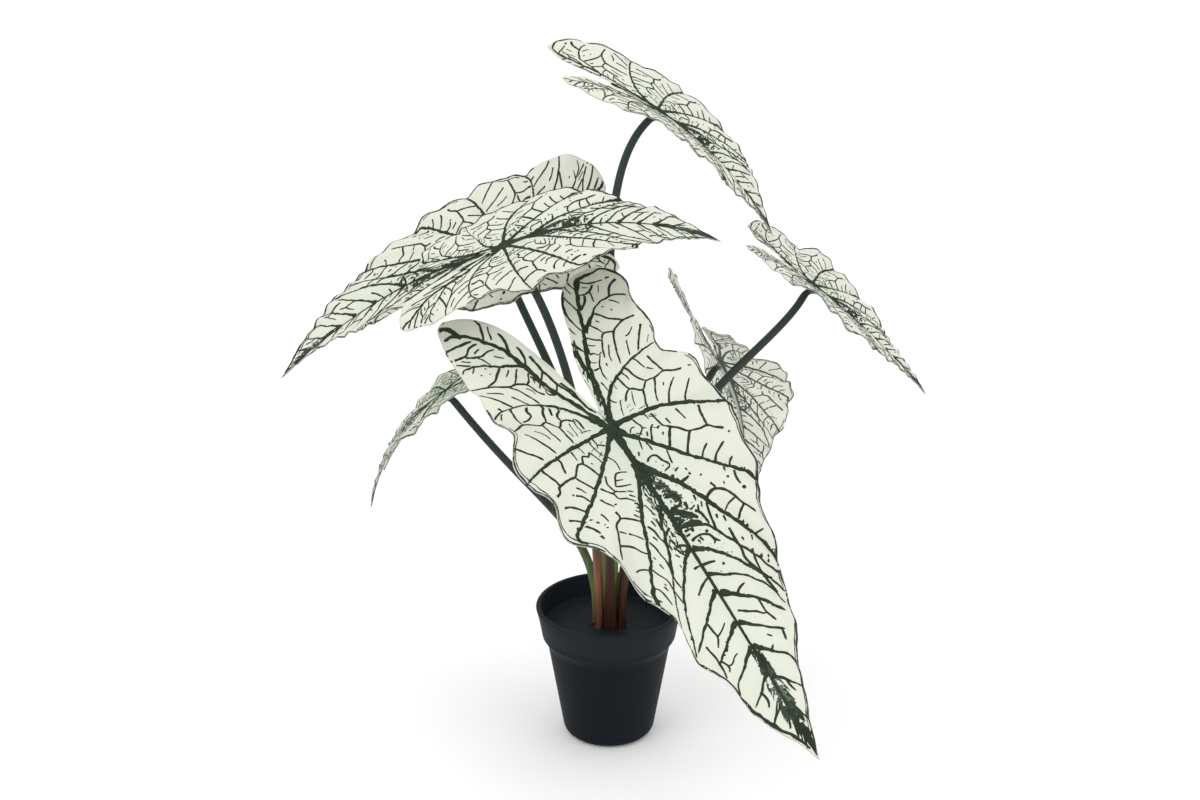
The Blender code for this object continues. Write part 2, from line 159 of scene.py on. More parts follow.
def smooth_curve(points: np.ndarray, x: np.ndarray) -> np.ndarray:
    """Runs a Catmull-Rom curve through points.

    Args:
        points: one row per knot.
        x: places along the curve, counted in knots.

    Returns:
        One row per place.
    """
    last = len(points) - 1
    x = np.clip(x, 0, last)
    i = np.minimum(x.astype(int), last - 1)
    t = (x - i)[:, None]
    padded = np.vstack([2 * points[0] - points[1], points, 2 * points[-1] - points[-2]])
    a, b, c, d = padded[i], padded[i + 1], padded[i + 2], padded[i + 3]
    return 0.5 * (2 * b + (c - a) * t + (2 * a - 5 * b + 4 * c - d) * t**2 + (3 * b - a - 3 * c + d) * t**3)


def densely(knots: np.ndarray, count: int) -> np.ndarray:
    """Returns this many points of the smooth curve through knots."""
    return smooth_curve(knots, np.linspace(0, len(knots) - 1, count))


def evenly(line: np.ndarray, count: int) -> tuple:
    """Spreads points evenly along a line.

    Args:
        line: rows of places, close together.
        count: how many points.

    Returns:
        The points, one row each, and how far along the line each lies.
    """
    length = np.concatenate([[0], np.cumsum(np.linalg.norm(np.diff(line, axis=0), axis=1))])
    reach = np.linspace(0, length[-1], count)
    return np.stack([np.interp(reach, length, line[:, k]) for k in (0, 1)], 1), reach


def bowed(a: Place, middle: Place, b: Place, t: float | np.ndarray) -> Place:
    """Returns the place at share t of the curve from a to b that is drawn towards the middle."""
    return a * (1 - t) ** 2 + 2 * middle * t * (1 - t) + b * t * t


def left_of(ahead: np.ndarray) -> np.ndarray:
    """Returns unit vectors a quarter turn to the left of these, one row each."""
    left = np.stack([-ahead[:, 1], ahead[:, 0]], 1)
    return left / np.maximum(np.linalg.norm(left, axis=1), 1e-6)[:, None]


def search_tree(points: np.ndarray) -> kdtree.KDTree:
    """Builds a tree that finds the nearest of these points.

    Args:
        points: one row of two coordinates per point.

    Returns:
        The tree, which takes points whose third coordinate is 0.
    """
    tree = kdtree.KDTree(len(points))
    for i, (x, y) in enumerate(points):
        tree.insert((x, y, 0), i)
    tree.balance()
    return tree


def eased(x: np.ndarray, stations: list, values: tuple) -> np.ndarray:
    """Eases between values given at the inner stations and fades to the tip.

    Args:
        x: station numbers.
        stations: the stations that carry values, with the first and last of the margin.
        values: one value for each inner station.

    Returns:
        The value at each station number.
    """
    knots = np.array(stations, float)
    heights = np.array([0.5 * values[0], *values, 0.0])
    i = np.clip(np.searchsorted(knots, x, side="right") - 1, 0, len(knots) - 2)
    f = (x - knots[i]) / (knots[i + 1] - knots[i])
    f = f * f * (3 - 2 * f)
    return heights[i] * (1 - f) + heights[i + 1] * f


def flat_point(station: np.ndarray, share: np.ndarray) -> np.ndarray:
    """Places points on the flat half blade.

    Args:
        station: station numbers along the margin.
        share: the share of the way out from the midrib to the margin, along the vein of the station.

    Returns:
        Rows of distance along the midrib and distance out from it.
    """
    edge = smooth_curve(STATIONS[:, :2], station)
    edge[:, 1] = np.maximum(edge[:, 1], 0)
    index = np.arange(LAST + 1)
    root = np.stack([np.interp(station, index, STATIONS[:, 2]), np.zeros_like(station)], 1)
    bow = np.interp(station, index, STATIONS[:, 3])
    middle = (root + edge) / 2 + left_of(edge - root) * (2 * bow)[:, None]
    return bowed(root, middle, edge, share[:, None])


def scallop(side: int, station: np.ndarray, share: np.ndarray, depth: float) -> np.ndarray:
    """Works out how far the scallops of the cut margin move points of the flat half blade.

    Args:
        side: 1 for the right half, -1 for the left.
        station: station numbers along the margin.
        share: the share of the way out to the margin.
        depth: the share of the full scallops that this blade has.

    Returns:
        Rows of shifts along the midrib and out from it.
    """
    margin = STATIONS[:, :2]
    outwards = left_of(smooth_curve(margin, station + 0.05) - smooth_curve(margin, station - 0.05))
    amount = smooth_curve(SCALLOPS[0 if side > 0 else 1][:, None], station * 2)[:, 0]
    return outwards * (depth * amount * share**3)[:, None]


def puff(station: np.ndarray, share: np.ndarray) -> np.ndarray:
    """Works out how far the blade rises between its veins.

    Args:
        station: station numbers along the margin.
        share: the share of the way out to the margin.

    Returns:
        The rise of each point, for a wave of one blade length.
    """
    rise = np.zeros_like(station)
    for first, last, amount in PANELS:
        inside = (station >= first) & (station <= last)
        rise = np.where(inside, amount * np.sin(pi * (station - first) / (last - first)), rise)
    return rise * share**1.5


def locate(flat: np.ndarray) -> tuple:
    """Finds the station and share of points on the flat blade, by least squares from the nearest guess.

    Args:
        flat: rows of distance along the midrib and signed distance out, positive on the right half.

    Returns:
        Arrays of side, station and share.
    """
    side = np.where(flat[:, 1] >= 0, 1, -1)
    target = np.stack([flat[:, 0], np.abs(flat[:, 1])], 1)
    stations, shares = np.meshgrid(np.linspace(0, LAST, LAST * GUESSES_PER_STATION + 1),
                                   np.linspace(0, 1, GUESSES_ACROSS), indexing="ij")
    stations, shares = stations.ravel(), shares.ravel()
    tree = search_tree(flat_point(stations, shares))
    nearest = np.array([tree.find((point[0], point[1], 0))[1] for point in target])
    station, share = stations[nearest], shares[nearest]
    for _ in range(SEARCH_ROUNDS):
        base = flat_point(station, share)
        ahead = np.where(station > LAST - SLOPE_EDGE, -SLOPE_STEP, SLOPE_STEP)
        outward = np.where(share > 1 - SLOPE_EDGE, -SLOPE_STEP, SLOPE_STEP)
        by_station = (flat_point(station + ahead, share) - base) / ahead[:, None]
        by_share = (flat_point(station, share + outward) - base) / outward[:, None]
        miss = target - base
        station_square = (by_station**2).sum(1) + DAMPING
        share_square = (by_share**2).sum(1) + DAMPING
        product = (by_station * by_share).sum(1)
        station_miss, share_miss = (by_station * miss).sum(1), (by_share * miss).sum(1)
        whole = station_square * share_square - product * product
        along = (share_square * station_miss - product * share_miss) / whole
        out = (station_square * share_miss - product * station_miss) / whole
        station = np.clip(station + np.clip(along, -LONGEST_ALONG, LONGEST_ALONG), 0, LAST)
        share = np.clip(share + np.clip(out, -LONGEST_OUT, LONGEST_OUT), 0, 1)
    return side, station, share


def middles(count: int) -> np.ndarray:
    """Returns the middles of this many equal parts of the way from 0 to 1."""
    return (np.arange(count) + 0.5) / count


def mean_of(angle: np.ndarray, function: Callable) -> np.ndarray:
    """Returns the mean of the function along arcs whose angle grows from its first to its last column."""
    return function(angle).mean(axis=1)


@dataclass
class Leaf:
    """One leaf: where its blade joins the stem, how it hangs, and how its stem runs.

    Angles are in degrees. Azimuth is the heading of the tip seen from above, counted from +X. Pairs give the
    right half and then the left half, seen from above with the tip ahead. Lift and back are in blade lengths,
    and spread is the share by which that part of the margin is wider than the design. Lean is how far the
    stem runs sideways in X and Y for each metre of height where it meets the blade. Green is how much of the
    green tint lies on the whole blade.
    """

    name: str
    joint: tuple
    azimuth: float
    pitch: float
    droop: float
    roll: float
    twist: float
    size: float
    sweep: float
    wave: float
    fold: tuple
    curl: tuple
    base: tuple
    tone: StemTone
    base_radius: float = 0.0039
    lobe: float = 1.0
    back: tuple = (0.0, 0.0)
    lift_right: tuple = (0, 0, 0, 0, 0)
    lift_left: tuple = (0, 0, 0, 0, 0)
    spread_right: tuple = (0, 0, 0, 0, 0, 0, 0, 0, 0)
    spread_left: tuple = (0, 0, 0, 0, 0, 0, 0, 0, 0)
    lean: tuple = (0.0, 0.0)
    rise: float = 0.45
    arrive: float = 0.35
    scallops: float = 0.45
    ruffle: float = 0.0045
    green: float = 0.0

    def heading(self) -> tuple:
        """Sets out the leaf's own directions.

        Returns:
            The unit vectors ahead, to the right and up for its azimuth.
        """
        azimuth = radians(self.azimuth)
        head = np.array([cos(azimuth), sin(azimuth), 0.0])
        lateral = np.array([sin(azimuth), -cos(azimuth), 0.0])
        return head, lateral, np.array([0.0, 0.0, 1.0])

    def points(self, side: int, station: np.ndarray, share: np.ndarray,
               relief: np.ndarray | float = 0.0) -> np.ndarray:
        """Bends points of the blade's middle surface to their place in the plant.

        Args:
            side: 1 for the right half, -1 for the left.
            station: station numbers along the margin.
            share: the share of the way out to the margin.
            relief: how far each point is embossed upwards, in blade lengths.

        Returns:
            One row of X, Y and Z for each point.
        """
        half = 0 if side > 0 else 1
        lift = (self.lift_right, self.lift_left)[half]
        spread = (self.spread_right, self.spread_left)[half]
        root = np.interp(station, np.arange(LAST + 1), STATIONS[:, 2])
        grown = 1 + eased(station, SPREAD_STATIONS, spread)
        flat = flat_point(station, share) + scallop(side, station, share, self.scallops)
        along = root + (flat[:, 0] - root) * grown
        along = np.where(along < 0, along * self.lobe, along)
        out = flat[:, 1] * grown
        # The midrib curves sideways within the blade.
        sweep = radians(self.sweep)
        ahead = np.clip(along, 0, None)
        turned = ahead[:, None] * middles(16) * sweep
        forward = along > 0
        u = np.where(forward, mean_of(turned, np.cos) * ahead - side * out * np.sin(sweep * ahead), along)
        v = np.where(forward, mean_of(turned, np.sin) * ahead + side * out * np.cos(sweep * ahead), side * out)
        # The midrib droops from the joint to the tip.
        reach = u[:, None] * middles(20)
        pitch, droop = radians(self.pitch), radians(self.droop)
        slope = pitch + droop * np.where(reach > 0, reach, LOBE_DROOP * reach)
        level, height = mean_of(slope, np.cos) * u, mean_of(slope, np.sin) * u
        head, lateral, up = self.heading()
        end = pitch + droop * np.where(u > 0, u, LOBE_DROOP * u)
        normal = np.outer(-np.sin(end), head) + np.outer(np.cos(end), up)
        roll = radians(self.roll) + radians(self.twist) * u
        across = lateral * np.cos(roll)[:, None] - normal * np.sin(roll)[:, None]
        normal = normal * np.cos(roll)[:, None] + lateral * np.sin(roll)[:, None]
        # Each half folds up from the midrib and curls over towards its margin.
        rise = radians(self.fold[half]) + radians(self.curl[half]) * out / CURL_REACH
        sideways = (v - side * out) + side * out * np.cos(rise)
        upwards = out * np.sin(rise)
        upwards = upwards + self.back[half] * np.where(u < 0, u * u, 0) / LOBE_DEPTH
        upwards = upwards + self.wave * puff(station, share) + relief
        # The margin ruffles in two waves that never fall together.
        phase = self.azimuth + 2.0 * side
        waves = np.sin(3.7 * station + phase) + 0.6 * np.sin(5.9 * station + 1.7 * phase)
        upwards = upwards + self.ruffle * waves * share**4 * np.clip((LAST - station) / 4, 0, 1)
        upwards = upwards + eased(station, LIFT_STATIONS, lift) * share**2
        middle = np.outer(level, head) + np.outer(height, up)
        local = middle + across * sideways[:, None] + normal * upwards[:, None]
        return np.array(self.joint) + self.size * local

    def normal(self, u: float) -> np.ndarray:
        """Finds the upward normal on the midrib.

        Args:
            u: how far from the joint, in blade lengths.

        Returns:
            The unit normal.
        """
        head, lateral, up = self.heading()
        slope = radians(self.pitch) + radians(self.droop) * u
        normal = -sin(slope) * head + cos(slope) * up
        roll = radians(self.roll) + radians(self.twist) * u
        return normal * cos(roll) + lateral * sin(roll)

    def stem_path(self) -> tuple:
        """Lays the stem from its hole up to the joint and on along the underside of the midrib.

        Returns:
            Arrays of points, of radii, and of zones, which are 0 on the stem and 1 on the rib.
        """
        joint = Vector(self.joint)
        clear = BLADE_THICKNESS / 2 + GAP + RIB_CLEARANCE
        start = Vector((self.base[0], self.base[1], FILL_TOP + STRAIGHT_FOOT))
        corner = joint - Vector(self.normal(0)) * (clear + JOINT_RADIUS + 0.0010)
        arrival = Vector((*self.lean, 1.0)).normalized()
        end = corner - arrival * ELBOW
        chord = end - start
        first = start + Vector((0, 0, chord.length * self.rise))
        second = end - arrival * chord.length * self.arrive
        points = [Vector((start.x, start.y, HOLE_FLOOR + GAP)), Vector((start.x, start.y, HOLE_FLOOR + 0.018))]
        radii = [self.base_radius * 0.98, self.base_radius]
        zones = [0.0, 0.0]
        for i in range(STEM_STEPS + 1):
            t = i / STEM_STEPS
            points.append(start * (1 - t)**3 + first * 3 * t * (1 - t)**2 + second * 3 * t * t * (1 - t)
                          + end * t**3)
            neck = max(0.0, 1 - 4.5 * t) ** 2
            radii.append(self.base_radius * neck + (JOINT_RADIUS + 0.0006 * (1 - t)) * (1 - neck))
            zones.append(0.0)
        ribs = []
        for u in (0.009 / self.size, *RIB_PLACES):
            fade = (u / RIB_END) ** 0.6
            radius = ROOT_RIB_RADIUS * (1 - fade) + TIP_RIB_RADIUS * fade
            station = np.interp(u, STATIONS[JOINT_STATION:, 2], np.arange(JOINT_STATION, LAST + 1))
            on_rib = Vector(self.points(1, np.array([station]), np.array([0.0]))[0])
            ribs.append((on_rib - Vector(self.normal(u)) * (clear + radius), radius))
        for t in (0.3, 0.55, 0.8):
            points.append(bowed(end, corner, ribs[0][0], t))
            radii.append(JOINT_RADIUS * (1 - t) + ribs[0][1] * t)
            zones.append(max(0.0, t - 0.4))
        for point, radius in ribs:
            points.append(point)
            radii.append(radius)
            zones.append(1.0)
        return np.array(points), np.array(radii), np.array(zones)


LEAVES = [
    Leaf("leaf_front", (0.0, -0.125, 0.345), -57, -28, -6, 22, -18, 0.319, 0, 0.022, (13, 9), (-10, -10),
         (0.0010, -0.0090), StemTone.BROWN, base_radius=0.0060, lobe=0.89, back=(0, -0.08),
         lift_right=(-0.03, 0.02, 0.06, 0.02, -0.03), lift_left=(-0.01, 0.01, 0.02, -0.01, -0.03),
         spread_right=(0.12, 0.12, -0.12, 0.03, -0.17, -0.12, -0.07, -0.15, 0.06),
         spread_left=(0.20, 0.02, -0.13, -0.15, -0.14, -0.05, -0.07, -0.07, 0.04), lean=(0.0, -0.45),
         scallops=0.95, ruffle=0.0025),
    Leaf("leaf_left_front", (-0.088, -0.013, 0.460), -6, 25, -47, 23, -18, 0.184, -8, 0.023, (6, 6), (-24, -20),
         (-0.0088, -0.0066), StemTone.RUSSET, back=(0.04, 0), lift_right=(0, 0.01, -0.01, 0.03, 0),
         lift_left=(0, 0, -0.01, 0.02, 0), spread_right=(0.30, 0.06, 0, 0.06, -0.04, 0.09, 0.24, 0.18, 0.24),
         spread_left=(0, -0.20, -0.30, 0, -0.08, 0.14, 0.11, 0.02, 0.20),
         lean=(-0.80, -0.25), rise=0.52, arrive=0.15),
    Leaf("leaf_left_back", (-0.096, 0.097, 0.422), 172, -15, -29, -28, 19, 0.235, -18, 0.030, (18, 11),
         (-14, -22), (-0.0040, 0.0076), StemTone.OLIVE, lobe=0.91, back=(0.05, 0),
         lift_right=(-0.01, 0.08, 0.01, 0, 0.02), lift_left=(0, 0, -0.01, 0.05, 0),
         spread_right=(0, -0.11, -0.03, 0.01, -0.07, -0.07, -0.06, -0.06, 0.05),
         lean=(-0.30, 0.20), rise=0.55, arrive=0.20),
    Leaf("leaf_top", (0.041, 0.103, 0.547), 5, -32, -26, 16, -5, 0.151, 23, 0.024, (15, 18), (-20, -19),
         (0.0046, 0.0084), StemTone.OLIVE, lobe=1.14, back=(-0.06, -0.13),
         lift_right=(0, -0.01, 0.04, 0, -0.04), lift_left=(-0.01, 0.02, 0.01, 0, 0.02),
         spread_left=(0, 0.18, 0.14, 0.10, -0.08, 0.07, 0.19, 0.11, 0.09),
         lean=(1.00, 0.20), rise=0.60, arrive=0.16),
    Leaf("leaf_right", (0.179, 0.087, 0.395), -1, -37, -10, 7, -3, 0.142, 19, 0.039, (11, 18), (-21, -21),
         (0.0110, -0.0066), StemTone.BROWN, back=(0, -0.08), lift_right=(0, -0.01, 0.04, -0.02, -0.02),
         lift_left=(0, 0, 0.03, 0, -0.02), lean=(0.66, 0.50), rise=0.58, arrive=0.20),
    Leaf("leaf_right_back", (0.101, 0.125, 0.309), 57, -46, -40, 8, -22, 0.190, -8, 0.031, (15, 26), (-17, -13),
         (0.0100, 0.0020), StemTone.GREEN, back=(-0.06, 0.07), lift_right=(0, -0.01, 0.02, 0.03, 0),
         lift_left=(0, 0.04, 0, 0, 0), spread_left=(0, 0, 0, -0.12, -0.18, -0.18, -0.12, 0, 0),
         lean=(0.62, 0.30)),
    Leaf("leaf_left_low", (-0.143, 0.046, 0.310), 193, -31, -50, 3, 16, 0.127, -7, 0.042, (4, 8), (-26, -21),
         (-0.0108, 0.0024), StemTone.GREEN, lift_right=(0, 0, 0.02, -0.01, 0.02),
         lift_left=(0, 0, 0.02, -0.02, 0), lean=(-0.78, 0.13), rise=0.40, arrive=0.60, green=0.55),
]


@dataclass(frozen=True)
class Vein:
    """A printed vein on the flat blade, in thousandths of the blade's length.

    Start and end are its half widths there. Places gives in turn how far along the midrib and how far out
    from it the vein passes, positive out on the right.
    """

    start: float
    end: float
    places: tuple

    def path(self) -> np.ndarray:
        """Returns the vein's places in blade lengths, one row each."""
        return np.array(self.places).reshape(-1, 2) / 1000


class VeinPlan:
    """The main veins of the print, which every blade carries, in thousandths of the blade's length."""

    MIDRIB = (0, 120, 300, 500, 700, 860, 990)
    RIGHT = {
        "lobe": Vein(5.4, 2.6, (-20, 12, -116, 48, -181, 72, -271, 90, -355, 115, -407, 144, -440, 163,
                                -470, 190, -492, 222)),
        "lobe_branch": Vein(3.4, 2.0, (-271, 90, -307, 132, -366, 198, -390, 246, -386, 268)),
        "shoulder": Vein(5.2, 2.4, (-12, 15, -60, 46, -107, 78, -158, 130, -176, 184, -166, 224, -145, 249)),
        "first": Vein(5.6, 2.8, (5, 10, 36, 142, 77, 246, 112, 294)),
        "second": Vein(5.6, 2.8, (20, 10, 96, 71, 184, 149, 275, 236, 303, 254, 332, 252)),
        "third": Vein(6.0, 1.7, (130, 2, 160, 12, 190, 26, 237, 50, 298, 80, 397, 118, 464, 147, 504, 162,
                                 531, 168, 560, 172)),
        "fourth": Vein(3.0, 1.6, (262, 6, 306, 30, 385, 60, 446, 84, 520, 122, 600, 152)),
        "fifth": Vein(4.2, 2.0, (398, 4, 430, 34, 498, 80, 554, 108, 600, 118, 660, 130)),
        "sixth": Vein(3.8, 2.2, (525, 3, 556, 34, 597, 71, 651, 120)),
        "seventh": Vein(3.6, 2.2, (620, 3, 648, 36, 680, 70, 700, 96)),
        "eighth": Vein(3.4, 1.8, (690, 3, 716, 30, 742, 54, 758, 76, 786, 80)),
        "ninth": Vein(2.8, 1.6, (765, 4, 792, 30, 826, 58)),
        "tenth": Vein(2.2, 1.4, (840, 10, 864, 30, 882, 40)),
    }
    LEFT = {
        "lobe": Vein(5.0, 2.7, (-20, -8, -85, -22, -118, -28, -161, -34, -217, -51, -288, -78, -332, -93,
                                -379, -109, -441, -134, -474, -150)),
        "lobe_branch": Vein(3.2, 2.2, (-294, -83, -340, -113, -375, -141, -390, -170, -394, -200, -388, -228,
                                       -381, -248)),
        "shoulder": Vein(5.0, 2.4, (-20, -10, -66, -30, -108, -57, -143, -100, -168, -155, -180, -207,
                                    -180, -250)),
        "first": Vein(6.2, 3.0, (3, -13, 14, -89, 30, -152, 60, -212, 94, -272, 108, -296)),
        "second": Vein(6.0, 3.0, (24, -8, 99, -66, 188, -135, 262, -206, 304, -246, 333, -254)),
        "third": Vein(6.6, 3.0, (140, -6, 208, -52, 266, -86, 352, -122, 429, -157, 498, -179, 538, -180)),
        "fourth": Vein(3.6, 1.6, (334, -4, 350, -34, 372, -74, 420, -98, 480, -132, 560, -168)),
        "fifth": Vein(4.6, 2.2, (404, -4, 429, -44, 473, -83, 558, -139, 600, -156)),
        "sixth": Vein(3.4, 1.6, (480, -3, 500, -40, 522, -82, 566, -122, 620, -142)),
        "seventh": Vein(4.8, 2.8, (535, -3, 559, -38, 588, -80, 636, -126)),
        "eighth": Vein(3.6, 2.6, (622, -3, 652, -44, 678, -98)),
        "ninth": Vein(4.2, 2.2, (690, -3, 718, -34, 742, -74, 768, -84)),
        "tenth": Vein(3.0, 1.8, (776, -6, 800, -34, 826, -60)),
        "eleventh": Vein(2.4, 1.4, (868, -6, 888, -22, 904, -30)),
    }

    @classmethod
    def branches(cls) -> list:
        """Returns the veins of both halves."""
        return [*cls.RIGHT.values(), *cls.LEFT.values()]

    @classmethod
    def paths(cls) -> list:
        """Returns the path of every main vein, the midrib first."""
        midrib = np.array([(place, 0) for place in cls.MIDRIB]) / 1000
        return [midrib, *(vein.path() for vein in cls.branches())]


